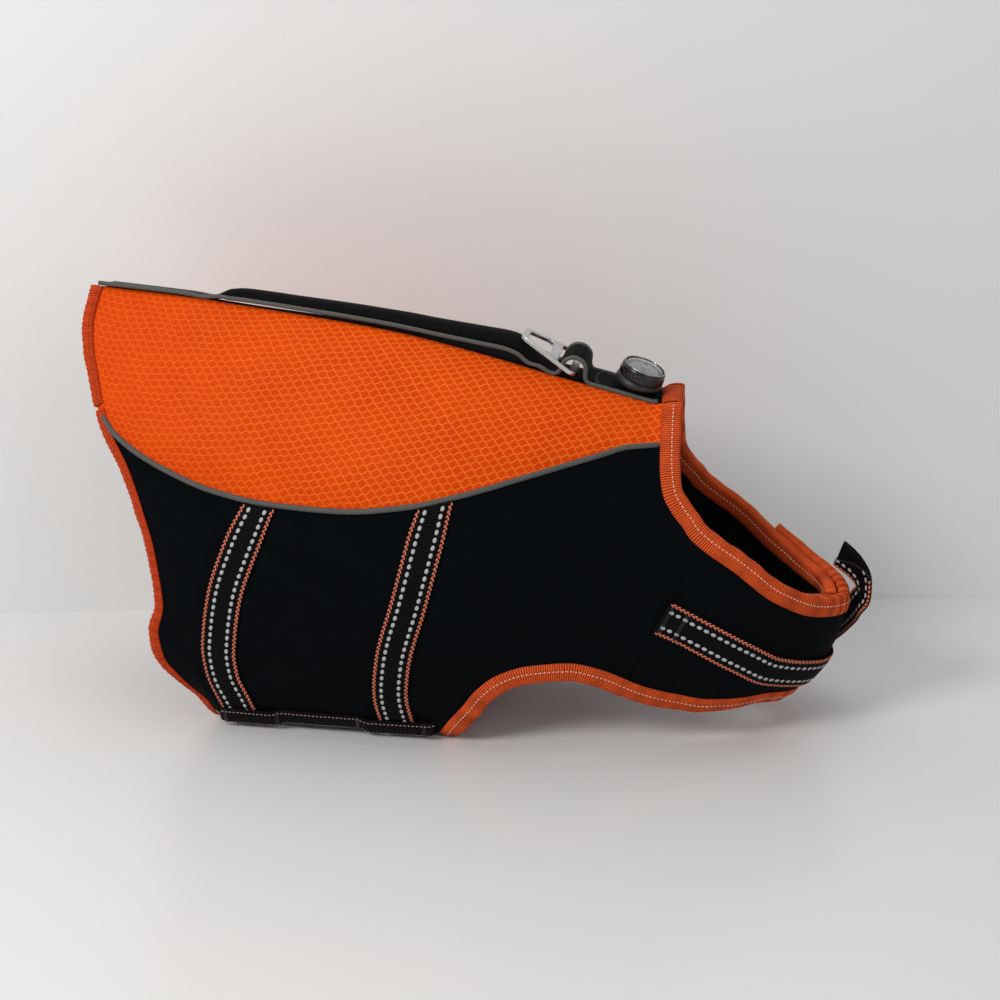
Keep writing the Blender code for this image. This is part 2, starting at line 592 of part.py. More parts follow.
def make_keeper_strap(side, label):
    """Narrow webbing along the belly edge, with the girth straps running under it."""
    along = even(*KEEPER_ENDS, 18)
    line = np.stack([along, np.full(18, KEEPER_TURN)], -1)
    centres = [smooth_through(GIRTH_ROWS[name], 0, 1, 12) for name in GIRTH_ROWS]

    def low(a):
        return GIRTH_GAP + (WEBBING + 1.4 * GIRTH_GAP) * strap_clearance(a, centres)

    sweep("keeper_strap_" + label, ribbon_rings(side, line, KEEPER_HALF, low, 1.2, 3), BLACK_WEB)


def buckle_level(along):
    """Height of the buckle's middle line."""
    return BUCKLE_LEVEL + BUCKLE_RISE * (along - BUCKLE_START)


def make_chest_straps():
    """One webbing from each side of the chest to the buckle at the front."""
    def chest_line(side, end, count):
        """Line of a strap, which levels out as it comes to the buckle."""
        along = even(132, end, 40)
        z = smooth_through(CHEST_STRAP_ROWS, 0, 1, along)
        buckle_along = along if side == NEAR else 2 * FRONT - along
        z = z + (buckle_level(buckle_along) - z) * ease((along - end + 34) / 28)
        return resample(np.stack([along, turn_at(side, along, z)], -1), count, side)

    def near_low(a):
        return STRAP_GAP + lap(NEAR, a) + BUCKLE_ENTRY * ease((a - near_end + 22) / 20)

    def far_low(a):
        over_flap = (FLAP_LAP + TAPE + TAPE_GAP) * ease((a - 146) / 34)
        return STRAP_GAP + over_flap + (BUCKLE_ENTRY - TAPE) * ease((a - far_end + 22) / 20)

    near_end, far_end = BUCKLE_START - 0.8, 2 * FRONT - BUCKLE_END - 0.8
    near, far = chest_line(NEAR, near_end, 24), chest_line(FAR, far_end, 9)
    sweep("chest_strap_near", ribbon_rings(NEAR, near, WEBBING_HALF, near_low, WEBBING, 3), BLACK_WEB)
    sweep("chest_strap_far", ribbon_rings(FAR, far, WEBBING_HALF, far_low, WEBBING, 3), BLACK_WEB)


def make_buckle():
    """Curved side-release buckle, fastened: the prong half and the socket half."""
    def half_shell(name, first, last, half_first, half_last):
        along = even(first, last, 6)
        half = even(half_first, half_last, 6)
        line = np.stack([along, turn_at(NEAR, along, buckle_level(along))], -1)
        low = FLAP_LAP + SEAM_GAP + BUCKLE_STAND
        step = np.gradient(line, axis=0)
        profile = ((-1, 0.8), (-0.9, 0), (0.9, 0), (1, 0.8), (1, 5), (0.8, BUCKLE_THICK), (-0.8, BUCKLE_THICK),
                   (-1, 5))
        ring = []
        for across, up in profile:
            a, t = beside(NEAR, line[:, 0], line[:, 1], step, across * half)
            ring.append(skin(NEAR, a, t, low + up))
        sweep(name, np.stack(ring, 1), BLACK_WEB, roughness=0.4)

    half_shell("buckle_prongs", BUCKLE_START, BUCKLE_SPLIT, BUCKLE_HALF - 1, BUCKLE_HALF - 1)
    half_shell("buckle_socket", BUCKLE_SPLIT + 0.6, BUCKLE_END, BUCKLE_HALF, BUCKLE_HALF - 1)


def make_tail():
    """Free end of the chest strap, which springs up past the front and ends in a turned hem."""
    t = even(0, len(TAIL_ROWS) - 1, 22)
    rows = [(i, *row) for i, row in enumerate(TAIL_ROWS)]
    centre = np.stack([smooth_through(rows, 0, 1 + k, t) for k in range(3)], -1)
    across = unit(np.stack([smooth_through(rows, 0, 4 + k, t) for k in range(3)], -1))
    ahead = unit(np.gradient(centre, axis=0))
    across = unit(across - ahead * np.sum(across * ahead, -1, keepdims=True))
    facing = np.cross(ahead, across)
    way = np.concatenate([[0], np.cumsum(np.linalg.norm(np.diff(centre, axis=0), axis=1))])
    thick = WEBBING * (1 + 0.8 * ease((way - way[-1] + TAIL_HEM) / 3))[:, None] / 2
    half = WEBBING_HALF * 0.94
    ring = [centre + across * half * i + facing * thick * j for i, j in ((-1, 1), (1, 1), (1, -1), (-1, -1))]
    sweep("strap_tail", np.stack(ring, 1), BLACK_WEB)


# ---- Spine: base, webbing with the handle, piping ----
def top_line():
    """Along, up and thickness of the top webbing's middle line, handle and ring loop included."""
    along = np.concatenate([even(-267, -196, 4), even(-190, -160, 7), even(-135, -5, 6), even(8, 48, 10)])
    up, thick = (smooth_through(HANDLE_ROWS, 0, k, along) for k in (1, 2))
    centre_along, centre_up = LOOP_CENTRE
    round_loop = even(pi, 0, 9)
    loop = np.stack([centre_along + LOOP_R * np.cos(round_loop), centre_up + LOOP_R * np.sin(round_loop)])
    foot = np.array([[52.5, 55.2], [1.3, 4.0]])
    front = np.array([[2 * centre_along - 55.2, 2 * centre_along - 52.0, 84, 98, 112, TOP_END],
                      [4.0, 1.4, 1.3, 1.3, 1.3, 1.3]])
    rest = np.concatenate([foot, loop, front], 1)
    line = np.concatenate([np.stack([along, up]), rest], 1)
    return line[0], line[1], np.concatenate([thick, np.full(rest.shape[1], WEBBING)])


def across_line(along, up):
    """Unit direction, along and up, at right angles to the top webbing's line."""
    d_along, d_up = np.gradient(along), np.gradient(up)
    run = np.hypot(d_along, d_up)
    return -d_up / run, d_along / run


def make_spine():
    """Spine base, the continuous top webbing and its two edge pipings."""
    along = even(*SPINE_ENDS, 32)
    half = SPINE_BASE_HALF
    top, bottom = -0.2, -0.2 - SPINE_BASE
    ring = [spine(along, y, up) for y, up in ((-half, top), (half, top), (half, bottom), (-half, bottom))]
    sweep("spine_base", np.stack(ring, 1), BLACK_WEB)

    along, up, thick = top_line()
    n_along, n_up = across_line(along, up)
    ring = []
    for across, level in ((-1, 0.5), (1, 0.5), (1, -0.5), (-1, -0.5)):
        ring.append(spine(along + level * thick * n_along, across * WEBBING_HALF, up + level * thick * n_up))
    sweep("top_webbing", np.stack(ring, 1), BLACK_WEB)

    low = np.maximum(up, TOP_PIPING_R + 0.7)
    for label, side in SIDES.items():
        middle = side * (WEBBING_HALF + SEAM_GAP + TOP_PIPING_R)
        ring = []
        for angle in even(0, tau, 5)[:-1]:
            level, aside = TOP_PIPING_R * sin(angle), TOP_PIPING_R * cos(angle)
            ring.append(spine(along + level * n_along, middle + aside, low + level * n_up))
        sweep("top_piping_" + label, np.stack(ring, 1), GREY_TRIM, roughness=0.45)


def make_collar_top():
    """Tape over the neck end of the spine base, between the two neck bindings."""
    end, gap, outer = SPINE_ENDS[1], TAPE_GAP, TAPE_GAP + TAPE
    profile = (
        (-TAPE_DEPTH, outer), (gap, outer), (gap + TAPE, -1), (gap, -SPINE_BASE - outer),
        (-TAPE_DEPTH, -SPINE_BASE - outer), (-TAPE_DEPTH, -SPINE_BASE - gap), (gap, -SPINE_BASE - gap),
        (gap, gap), (-TAPE_DEPTH, gap),
    )
    across = even(-11.5, 11.5, 3)
    ring = [spine(end + ahead, across, up) for ahead, up in profile]
    sweep("neck_binding_top", np.stack(ring, 1), CORAL, roughness=0.7)


# ---- Leash ring ----
def hinge_frame():
    """Ring's axis point and its three directions at rest: out towards the tip, along the bar, upwards."""
    at = LOOP_CENTRE[0]
    point = spine(at, 0, RING_AXIS_UP)
    bar = unit(spine(at, 1, RING_AXIS_UP) - point)
    above = unit(spine(at, 0, RING_AXIS_UP + 1) - point)
    back = np.cross(above, bar)
    out = back * cos(RING_REST) + above * sin(RING_REST)
    return point, out, bar, np.cross(bar, out)


def rounded(corners, radius, steps=3):
    """Outline with its corners rounded off by arcs."""
    points = []
    count = len(corners)
    for i, corner in enumerate(corners):
        corner = np.array(corner, float)
        back = unit(np.array(corners[i - 1], float) - corner)
        ahead = unit(np.array(corners[(i + 1) % count], float) - corner)
        half = np.arccos(np.clip(back @ ahead, -1, 1)) / 2
        centre = corner + unit(back + ahead) * radius / sin(half)
        start, stop = corner + back * radius / np.tan(half) - centre, corner + ahead * radius / np.tan(half) - centre
        for t in even(0, 1, steps):
            points.append(centre + radius * unit(start * (1 - t) + stop * t))
    return np.array(points)


def make_ring():
    """Flat leash ring: end bar in the webbing loop, crossbar and open bow."""
    def half_at(r):
        return RING_HALF + (RING_TIP_HALF - RING_HALF) * max(0, (r - 8) / (RING_REACH - 8)) ** 1.15

    def outline(first, last, inset, radius):
        far = half_at(last) - inset
        near = half_at(first) - inset
        return rounded([(first, -near), (last, -far), (last, far), (first, near)], radius)

    point, out, bar, up = hinge_frame()
    loops = [outline(-RING_BAR, RING_REACH, 0, 5.5), outline(RING_BAR, RING_SLOT, RING_SIDE, 1.5),
             outline(RING_CROSSBAR, RING_HOLE, RING_SIDE, 4.0)]
    work = bmesh.new()
    edges = []
    for loop in loops:
        corners = [work.verts.new((*p, 0)) for p in loop]
        edges += [work.edges.new((corners[i - 1], corners[i])) for i in range(len(corners))]
    bmesh.ops.triangle_fill(work, use_beauty=True, edges=edges)
    flat = [f for f in work.faces]
    bmesh.ops.recalc_face_normals(work, faces=flat)
    raised = bmesh.ops.extrude_face_region(work, geom=flat)
    for item in raised["geom"]:
        if isinstance(item, bmesh.types.BMVert):
            item.co.z += RING_THICK
    work.verts.ensure_lookup_table()
    local = np.array([v.co[:] for v in work.verts])
    faces = [[v.index for v in f.verts] for f in work.faces]
    work.free()
    points = (point + local[:, :1] * out + local[:, 1:2] * bar + (local[:, 2:] - RING_THICK / 2) * up)
    holder = bpy.data.objects.new("ring_hinge", None)
    holder.location = placed(point).tolist()
    bpy.context.collection.objects.link(holder)
    solid("leash_ring", points, faces, SATIN, roughness=0.3, metallic=1.0, parent=holder)


# ---- Safety lamp ----
def lamp_frame():
    """Foot of the lamp's axis, and its directions: across two ways and up."""
    foot = spine(LAMP_ALONG, 0, 1.3 + WEBBING / 2 + SEAM_GAP + 0.2)
    aside = unit(spine(LAMP_ALONG, 1, 0) - spine(LAMP_ALONG, 0, 0))
    above = unit(spine(LAMP_ALONG, 0, 1) - spine(LAMP_ALONG, 0, 0))
    ahead = np.cross(aside, above)
    up = above * cos(LAMP_TILT) + ahead * sin(LAMP_TILT)
    return foot, np.cross(aside, up), aside, up, above


def make_lamp():
    """Round lamp on the front of the spine: base, knurled turning cap and lens."""
    foot, ahead, aside, up, above = lamp_frame()

    def turned(name, profile, color, knurled=(), sides=KNURLS, parent=None, **finish):
        """Closed profile of radius and height turned about the lamp's axis."""
        angles = even(0, tau, sides + 1)[:-1]
        rings = []
        for i, angle in enumerate(angles):
            drop = KNURL if i % 2 else 0
            rings.append([foot + (r - (drop if k in knurled else 0)) * (ahead * cos(angle) + aside * sin(angle))
                          + h * up for k, (r, h) in enumerate(profile)])
        return sweep(name, np.array(rings), color, closed=True, parent=parent, **finish)

    holder = bpy.data.objects.new("lamp_turning_axis", None)
    holder.location = placed(foot).tolist()
    bpy.context.collection.objects.link(holder)

    # The base's underside stays on the webbing while its top is square to the tilted axis.
    sides = 24
    angles = even(0, tau, sides + 1)[:-1][:, None]
    around = np.cos(angles) * ahead + np.sin(angles) * aside
    flat = around - (around @ above)[:, None] * above
    levels = [foot + flat * LAMP_FOOT_R, foot + flat * LAMP_FOOT_R + above * LAMP_FOOT_H,
              foot + flat * LAMP_BASE_R + above * (LAMP_FOOT_H + 0.4),
              foot + around * (LAMP_CAP_R - 0.6) + up * LAMP_BASE_H]
    points = np.concatenate(levels)
    index = np.arange(4 * sides).reshape(4, sides)
    faces = [[index[k, i - 1], index[k, i], index[k + 1, i], index[k + 1, i - 1]]
             for k in range(3) for i in range(sides)]
    faces += [index[0, ::-1].tolist(), index[3].tolist()]
    solid("lamp_base", points, [[int(i) for i in f] for f in faces], BLACK_WEB, roughness=0.55)

    cap_low, cap_high = LAMP_BASE_H + 0.3, LAMP_BASE_H + 0.3 + LAMP_CAP_H
    cap = ((LAMP_CAP_BORE, cap_low), (LAMP_CAP_R, cap_low), (LAMP_CAP_R, cap_high - 2.6),
           (LAMP_CAP_R - 0.5, cap_high - 2.2), (LAMP_CAP_R - 1.2, cap_high), (LAMP_CAP_BORE, cap_high))
    turned("lamp_cap", cap, BLACK_WEB, knurled=(1, 2), parent=holder, roughness=0.35)

    lens_low, lens_high = cap_low + 1.0, cap_high - 0.4
    rings = [(LAMP_LENS_R, lens_low), (LAMP_LENS_R, lens_high), (0.7 * LAMP_LENS_R, lens_high + 0.6 * LAMP_LENS_RISE),
             (0.3 * LAMP_LENS_R, lens_high + LAMP_LENS_RISE)]
    points = np.concatenate([foot + around * r + up * h for r, h in rings])
    index = np.arange(len(rings) * sides).reshape(len(rings), sides)
    faces = [[int(i) for i in (index[k, j - 1], index[k, j], index[k + 1, j], index[k + 1, j - 1])]
             for k in range(len(rings) - 1) for j in range(sides)]
    faces += [index[0, ::-1].tolist(), index[-1].tolist()]
    solid("lamp_lens", points, faces, CLEAR, roughness=0.1, parent=holder)


def main():
    for old in list(bpy.data.objects):
        bpy.data.objects.remove(old)
    for label, side in SIDES.items():
        make_panels(side, label)
        make_piping(side, label)
        make_bindings(side, label)
        make_keeper_strap(side, label)
    make_belly_panel()
    make_belly_bindings()
    for which in GIRTH_ROWS:
        make_girth_strap(which)
    make_chest_straps()
    make_buckle()
    make_tail()
    make_spine()
    make_collar_top()
    make_ring()
    make_lamp()


main()
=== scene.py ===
# %% [markdown]
# # A dog life jacket
#
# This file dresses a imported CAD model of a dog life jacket. The jacket stands on its own belly, filled out
# with nobody in it. The CAD model gives every piece its place; here each piece of cloth, tape and webbing gets
# its real surface: swollen foam, creased neoprene, ribbed tape and rows of stitches.

from math import cos, pi, radians, sin, tau

import bmesh
import bpy
import numpy as np
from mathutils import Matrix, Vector


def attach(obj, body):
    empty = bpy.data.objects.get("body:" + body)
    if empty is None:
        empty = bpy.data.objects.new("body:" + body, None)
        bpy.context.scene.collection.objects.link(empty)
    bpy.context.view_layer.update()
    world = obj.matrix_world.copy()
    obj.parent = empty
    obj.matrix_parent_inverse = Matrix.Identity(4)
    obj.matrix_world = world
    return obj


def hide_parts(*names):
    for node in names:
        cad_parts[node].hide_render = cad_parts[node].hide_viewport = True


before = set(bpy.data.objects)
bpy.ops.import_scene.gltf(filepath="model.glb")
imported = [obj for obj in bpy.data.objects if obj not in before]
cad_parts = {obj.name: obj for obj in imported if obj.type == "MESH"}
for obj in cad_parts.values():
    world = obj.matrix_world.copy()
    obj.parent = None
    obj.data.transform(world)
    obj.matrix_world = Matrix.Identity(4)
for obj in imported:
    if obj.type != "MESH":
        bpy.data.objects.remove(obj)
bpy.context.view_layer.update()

# %% [markdown]
# ## Camera, room and light
#
# The jacket stands on a white glossy table in front of a white wall. A wall that is only 20 cm behind catches
# soft shadows, which make a white object's outline readable. One large soft light from the upper left gives the
# shadows, a weaker one from the right opens them, and a pale world keeps black cloth from going to ink.

# %% Camera
CAMERA_TARGET = np.array([0.0123, 0.0, 0.1572])
CAMERA_AZIMUTH, CAMERA_ELEVATION, CAMERA_DISTANCE = radians(8), radians(18), 1.2
CAMERA_LENS = 60.98

bpy.context.scene.view_settings.view_transform = "Standard"
eye = CAMERA_TARGET + CAMERA_DISTANCE * np.array([
    sin(CAMERA_AZIMUTH) * cos(CAMERA_ELEVATION), -cos(CAMERA_AZIMUTH) * cos(CAMERA_ELEVATION),
    sin(CAMERA_ELEVATION)])
lens_data = bpy.data.cameras.new("camera")
lens_data.lens = CAMERA_LENS
lens_data.clip_start = 0.05
camera = bpy.data.objects.new("camera", lens_data)
camera.location = eye.tolist()
camera.rotation_euler = (pi / 2 - CAMERA_ELEVATION, 0, CAMERA_AZIMUTH)
bpy.context.collection.objects.link(camera)
bpy.context.scene.camera = camera
print("camera at", eye.round(3))

# %% Lights
def soft_light(name, place, aim, size, power, color=(1, 1, 1)):
    """Square area light at a place, turned so that it shines towards its aim."""
    data = bpy.data.lights.new(name, "AREA")
    data.shape, data.size, data.energy, data.color = "SQUARE", size, power, color
    light = bpy.data.objects.new(name, data)
    light.location = place
    light.rotation_euler = (Vector(aim) - Vector(place)).to_track_quat("-Z", "Y").to_euler()
    bpy.context.collection.objects.link(light)


soft_light("key", (-0.85, -1.2, 1.2), (0, 0, 0.12), 0.55, 17.5, (1.0, 0.99, 0.965))
soft_light("fill", (1.3, -1.2, 0.8), (0, 0, 0.12), 1.2, 4.5, (0.97, 0.985, 1.0))
soft_light("top", (0.1, 0.0, 1.7), (0, 0, 0), 1.0, 4.5)
world = bpy.data.worlds.new("studio")
world.use_nodes = True
world.node_tree.nodes["Background"].inputs["Color"].default_value = (1, 1, 1, 1)
world.node_tree.nodes["Background"].inputs["Strength"].default_value = 0.27
bpy.context.scene.world = world

# %% [markdown]
# ## Making finishes with nodes
#
# Every finish is procedural. Patterns that follow the cloth, such as ripstop lines or ribs, read the piece's own
# UV map "cloth", whose two values are millimetres along and across the piece. Patterns without direction, such
# as the grain of plastic, read Object coordinates.

# %% Node helpers
def add(tree, kind, inputs=(), **settings):
    """New shader node. `inputs` maps a socket to a value or to the output that feeds it."""
    made = tree.nodes.new("ShaderNode" + kind)
    for key, value in settings.items():
        setattr(made, key, value)
    for key, value in dict(inputs).items():
        if isinstance(value, bpy.types.NodeSocket):
            tree.links.new(value, made.inputs[key])
        else:
            made.inputs[key].default_value = value
    return made


def calc(tree, operation, *values):
    """Output of a Math node."""
    return add(tree, "Math", enumerate(values), operation=operation).outputs[0]


def ramp_down(tree, value, full, none):
    """1 while value is under `full`, 0 past `none`, with a smooth step between."""
    made = add(tree, "MapRange", {"Value": value, 1: full, 2: none, 3: 1.0, 4: 0.0},
               interpolation_type="SMOOTHSTEP", clamp=True)
    return made.outputs[0]


def mix(tree, factor, first, second):
    """Colour between two colours or colour outputs."""
    made = add(tree, "Mix", {0: factor, 6: first, 7: second}, data_type="RGBA")
    return made.outputs[2]


def noise(tree, vector, scale, detail=2.0):
    """Noise value, about 0.5 on average, at this many waves for each unit of the vector."""
    return add(tree, "TexNoise", {"Vector": vector, "Scale": scale, "Detail": detail}).outputs[0]


def blank_finish(name, **sockets):
    """New material, its tree and its shader, with these values on the shader's own sockets."""
    made = bpy.data.materials.new(name)
    made.use_nodes = True
    tree = made.node_tree
    shader = tree.nodes["Principled BSDF"]
    for key, value in sockets.items():
        shader.inputs[key.replace("_", " ")].default_value = value
    return made, tree, shader


def cloth_finish(name, roughness, **sockets):
    """Blank finish, and the cloth coordinate with the two values in it."""
    made, tree, shader = blank_finish(name, Roughness=roughness, **sockets)
    cloth = add(tree, "UVMap", uv_map="cloth").outputs[0]
    parts = add(tree, "SeparateXYZ", {0: cloth})
    return made, tree, shader, cloth, parts.outputs[0], parts.outputs[1]


def finish_with(tree, shader, color, height, strength, distance):
    """Feeds a colour, and a height in as a bump of this depth in metres."""
    tree.links.new(color, shader.inputs["Base Color"])
    bump = add(tree, "Bump", {"Height": height, "Strength": strength, "Distance": distance})
    tree.links.new(bump.outputs[0], shader.inputs["Normal"])


def stripes(tree, value, pitch, width):
    """1 on lines of this width, one for each pitch of the value, 0 between them."""
    place = calc(tree, "PINGPONG", value, pitch / 2)
    return ramp_down(tree, place, width * 0.3, width * 0.75)


def waves(tree, value, pitch):
    """Rounded ribs between 0 and 1, one for each pitch of the value."""
    return calc(tree, "MULTIPLY_ADD", calc(tree, "SINE", calc(tree, "MULTIPLY", value, tau / pitch)), 0.5, 0.5)

# %% [markdown]
# ### Orange ripstop
#
# Ripstop is a thin plain weave with a thicker yarn every few millimetres, which shows as a lattice of paler
# lines. On this jacket the cloth is cut on the skew: one family of lines runs almost level and the other falls
# steeply towards the neck. A little noise keeps the lines from looking ruled, and they fade towards the rear:
# that fade is painted sheen, the glint of the raised yarns dimming where less light falls on them.

# %% Ripstop finish
RIPSTOP_PITCH, RIPSTOP_STEEP_PITCH, RIPSTOP_LINE = 4.5, 5.9, 0.85
RIPSTOP_KINK = 0.42             # how far a level line steps at each steep one
RIPSTOP_FALL, RIPSTOP_RISE = radians(56), radians(13)
RIPSTOP_SHEEN_FADE = {1: -250.0, 2: -20.0, 3: 0.30, 4: 0.62}   # from and to along, and the lines' strength there


def ripstop_finish():
    """Two families of lines across a plain weave: a level coordinate and a steep one, both bent by slow noise."""
    made, tree, shader, cloth, along, up = cloth_finish(
        "orange_ripstop_finish", 0.6, Specular_IOR_Level=0.07)
    wobble = calc(tree, "MULTIPLY_ADD", noise(tree, cloth, 0.045), 5.0, -2.5)
    level = calc(tree, "ADD", calc(tree, "MULTIPLY", up, cos(RIPSTOP_RISE)), wobble)
    level = calc(tree, "MULTIPLY_ADD", along, -sin(RIPSTOP_RISE), level)
    steep = calc(tree, "MULTIPLY_ADD", along, sin(RIPSTOP_FALL), calc(tree, "MULTIPLY", up, cos(RIPSTOP_FALL)))
    steep = calc(tree, "MULTIPLY_ADD", wobble, 0.8, steep)
    kink = calc(tree, "SINE", calc(tree, "MULTIPLY", steep, tau / RIPSTOP_STEEP_PITCH))
    level = calc(tree, "MULTIPLY_ADD", kink, RIPSTOP_KINK, level)
    lines = calc(tree, "MAXIMUM", stripes(tree, level, RIPSTOP_PITCH, RIPSTOP_LINE),
                 stripes(tree, steep, RIPSTOP_STEEP_PITCH, RIPSTOP_LINE))
    # Painted sheen: the paler lines grow fainter towards the rear, as if less light glinted off the raised yarns
    # there.
    fade = add(tree, "MapRange", {"Value": along, **RIPSTOP_SHEEN_FADE}, clamp=True).outputs[0]
    lines = calc(tree, "MULTIPLY", lines, fade)
    patchy = noise(tree, cloth, 0.02, 3.0)
    ground = mix(tree, patchy, (0.80, 0.078, 0.0005, 1), (0.58, 0.036, 0.0003, 1))
    weave = calc(tree, "MULTIPLY", waves(tree, along, 0.45), waves(tree, up, 0.45))
    height = calc(tree, "MULTIPLY_ADD", weave, 0.35, lines)
    crinkle = noise(tree, cloth, 0.22, 4.0)
    height = calc(tree, "MULTIPLY_ADD", crinkle, 0.9, height)
    finish_with(tree, shader, mix(tree, lines, ground, (0.98, 0.20, 0.016, 1)), height, 0.45, 0.0004)
    return made


orange_ripstop = ripstop_finish()
print("made", orange_ripstop.name)

# %% [markdown]
# ### Neoprene, tape, webbing and piping
#
# Neoprene sheet is foam rubber with a fine knit on its face: nearly black, matt, with a soft sheen at grazing
# angles and a knit too small to see except as grain. Edge tape and webbing are narrow weaves whose ribs run
# across them. Their larger ribs are real geometry below, and the finish adds the yarns between them and
# paints shade into the grooves as a darker colour.

# %% Cloth finishes
def knit_finish(name, dark, light):
    """Fine matt knit: courses 0.9 mm and wales 1.1 mm apart, with lint over them."""
    made, tree, shader, cloth, along, up = cloth_finish(
        name, 0.86, Sheen_Weight=0.006, Sheen_Roughness=0.4, Specular_IOR_Level=0.05)
    grain = calc(tree, "MULTIPLY", waves(tree, along, 0.9), waves(tree, up, 1.1))
    lint = noise(tree, cloth, 1.3, 6.0)
    height = calc(tree, "MULTIPLY_ADD", lint, 0.8, grain)
    shade = calc(tree, "MULTIPLY", noise(tree, cloth, 0.03, 3.0), lint)
    finish_with(tree, shader, mix(tree, shade, dark, light), height, 0.35, 0.0002)
    return made


def woven_finish(name, ground, yarn, pitch, roughness, sheen, cross=1.1, depth=0.00022, gloss=0.12):
    """Narrow ribbed weave: ribs across the piece at this pitch, yarns along it at pitch `cross`, grooves in
    painted shade.
    """
    made, tree, shader, cloth, along, across = cloth_finish(
        name, roughness, Sheen_Weight=sheen, Sheen_Roughness=0.4, Specular_IOR_Level=gloss)
    ribs = waves(tree, along, pitch)
    yarns = waves(tree, calc(tree, "MULTIPLY_ADD", along, 0.35, across), cross)
    worn = noise(tree, cloth, 0.6, 5.0)
    # Painted shade: in the grooves between the ribs the colour falls to the dark `ground`, and a wear noise
    # varies it.
    groove_shade_and_wear = calc(tree, "MULTIPLY", calc(tree, "MULTIPLY_ADD", ribs, 0.9, 0.1), calc(tree, "ADD", worn, 0.4))
    height = calc(tree, "MULTIPLY_ADD", yarns, 0.5, ribs)
    finish_with(tree, shader, mix(tree, groove_shade_and_wear, ground, yarn), height, 0.5, depth)
    return made


TAPE_RIB, ELASTIC_RIB, WEB_RIB, CORD_RIB = 1.6, 1.5, 2.2, 0.8
black_neoprene = knit_finish("black_neoprene_finish", (0.0010, 0.0018, 0.0026, 1), (0.0036, 0.0054, 0.0076, 1))
# The first colour of each weave is mostly painted shade, the dark of the grooves between its ribs.
coral_tape = woven_finish("coral_tape_finish", (0.15, 0.012, 0.003, 1), (0.92, 0.125, 0.022, 1),
                          TAPE_RIB, 0.75, 0.02)
rust_elastic = woven_finish("rust_elastic_finish", (0.16, 0.012, 0.003, 1), (0.82, 0.080, 0.010, 1),
                            ELASTIC_RIB, 0.78, 0.02)
black_webbing = woven_finish("black_webbing_finish", (0.0006, 0.0006, 0.0008, 1), (0.0075, 0.0068, 0.0068, 1),
                             WEB_RIB, 0.7, 0.004, 1.4, 0.0003, 0.06)
grey_piping = woven_finish("grey_piping_finish", (0.065, 0.063, 0.060, 1), (0.125, 0.122, 0.115, 1),
                           CORD_RIB, 0.42, 0.1, 0.7, 0.00006)
print("made", black_neoprene.name, coral_tape.name, black_webbing.name, grey_piping.name)

# %% Hard finishes and threads
def grained_finish(name, color, roughness, scale, depth, **sockets):
    """Moulded plastic, metal or thread: one colour, a fine grain in bump and a little uneven gloss."""
    made, tree, shader = blank_finish(name, **sockets)
    place = add(tree, "TexCoord").outputs["Object"]
    grain = noise(tree, place, scale, 4.0)
    gloss = add(tree, "MapRange", {
        "Value": noise(tree, place, scale / 6), 3: roughness * 0.8, 4: roughness * 1.2})
    tree.links.new(gloss.outputs[0], shader.inputs["Roughness"])
    darker = tuple(c * 0.75 for c in color[:3]) + (1,)
    finish_with(tree, shader, mix(tree, grain, darker, color), grain, 0.4, depth)
    return made


satin_metal = grained_finish("satin_metal_finish", (0.70, 0.71, 0.70, 1), 0.30, 900, 0.00002, Metallic=1.0)
moulded_black = grained_finish("moulded_black_finish", (0.013, 0.013, 0.015, 1), 0.48, 2600, 0.00004)
gloss_black = grained_finish("gloss_black_finish", (0.010, 0.010, 0.012, 1), 0.24, 1500, 0.00001)
bright_rim = grained_finish("bright_rim_finish", (0.42, 0.43, 0.44, 1), 0.2, 900, 0.00001, Metallic=1.0)
crinkled_foil = grained_finish("crinkled_foil_finish", (0.52, 0.54, 0.55, 1), 0.22, 340, 0.0006, Metallic=0.9)
coral_thread = grained_finish("coral_thread_finish", (0.78, 0.20, 0.11, 1), 0.6, 2500, 0.0001)
grey_thread = grained_finish("grey_thread_finish", (0.50, 0.52, 0.52, 1), 0.5, 2500, 0.0001)
pale_thread = grained_finish("pale_thread_finish", (0.95, 0.62, 0.48, 1), 0.6, 2500, 0.0001)
rose_thread = grained_finish("rose_thread_finish", (0.55, 0.33, 0.29, 1), 0.6, 2500, 0.0001)
red_thread = grained_finish("red_thread_finish", (0.20, 0.010, 0.008, 1), 0.6, 2500, 0.0001)
black_thread = grained_finish("black_thread_finish", (0.02, 0.02, 0.022, 1), 0.55, 2500, 0.0001)
clear_lens = grained_finish("clear_lens_finish", (0.92, 0.95, 0.96, 1), 0.05, 300, 0.00002,
                            Transmission_Weight=1.0, IOR=1.49)
print("hard finishes and threads made")


# %% [markdown]
# ## The form that the whole garment follows
#
# The panels of a fitted jacket all lie on one smooth body-shaped surface. A point of this form has two
# coordinates: "along", the way from the rear edge to the neck and on round the chest, and "turn", the way up the
# cross-section: 1 at the spine, 0 at the widest level, -1 at the belly's edge and -2 at the middle of the belly.
# A few tables say how the section changes along the jacket. Everything is in millimetres until a mesh is made.

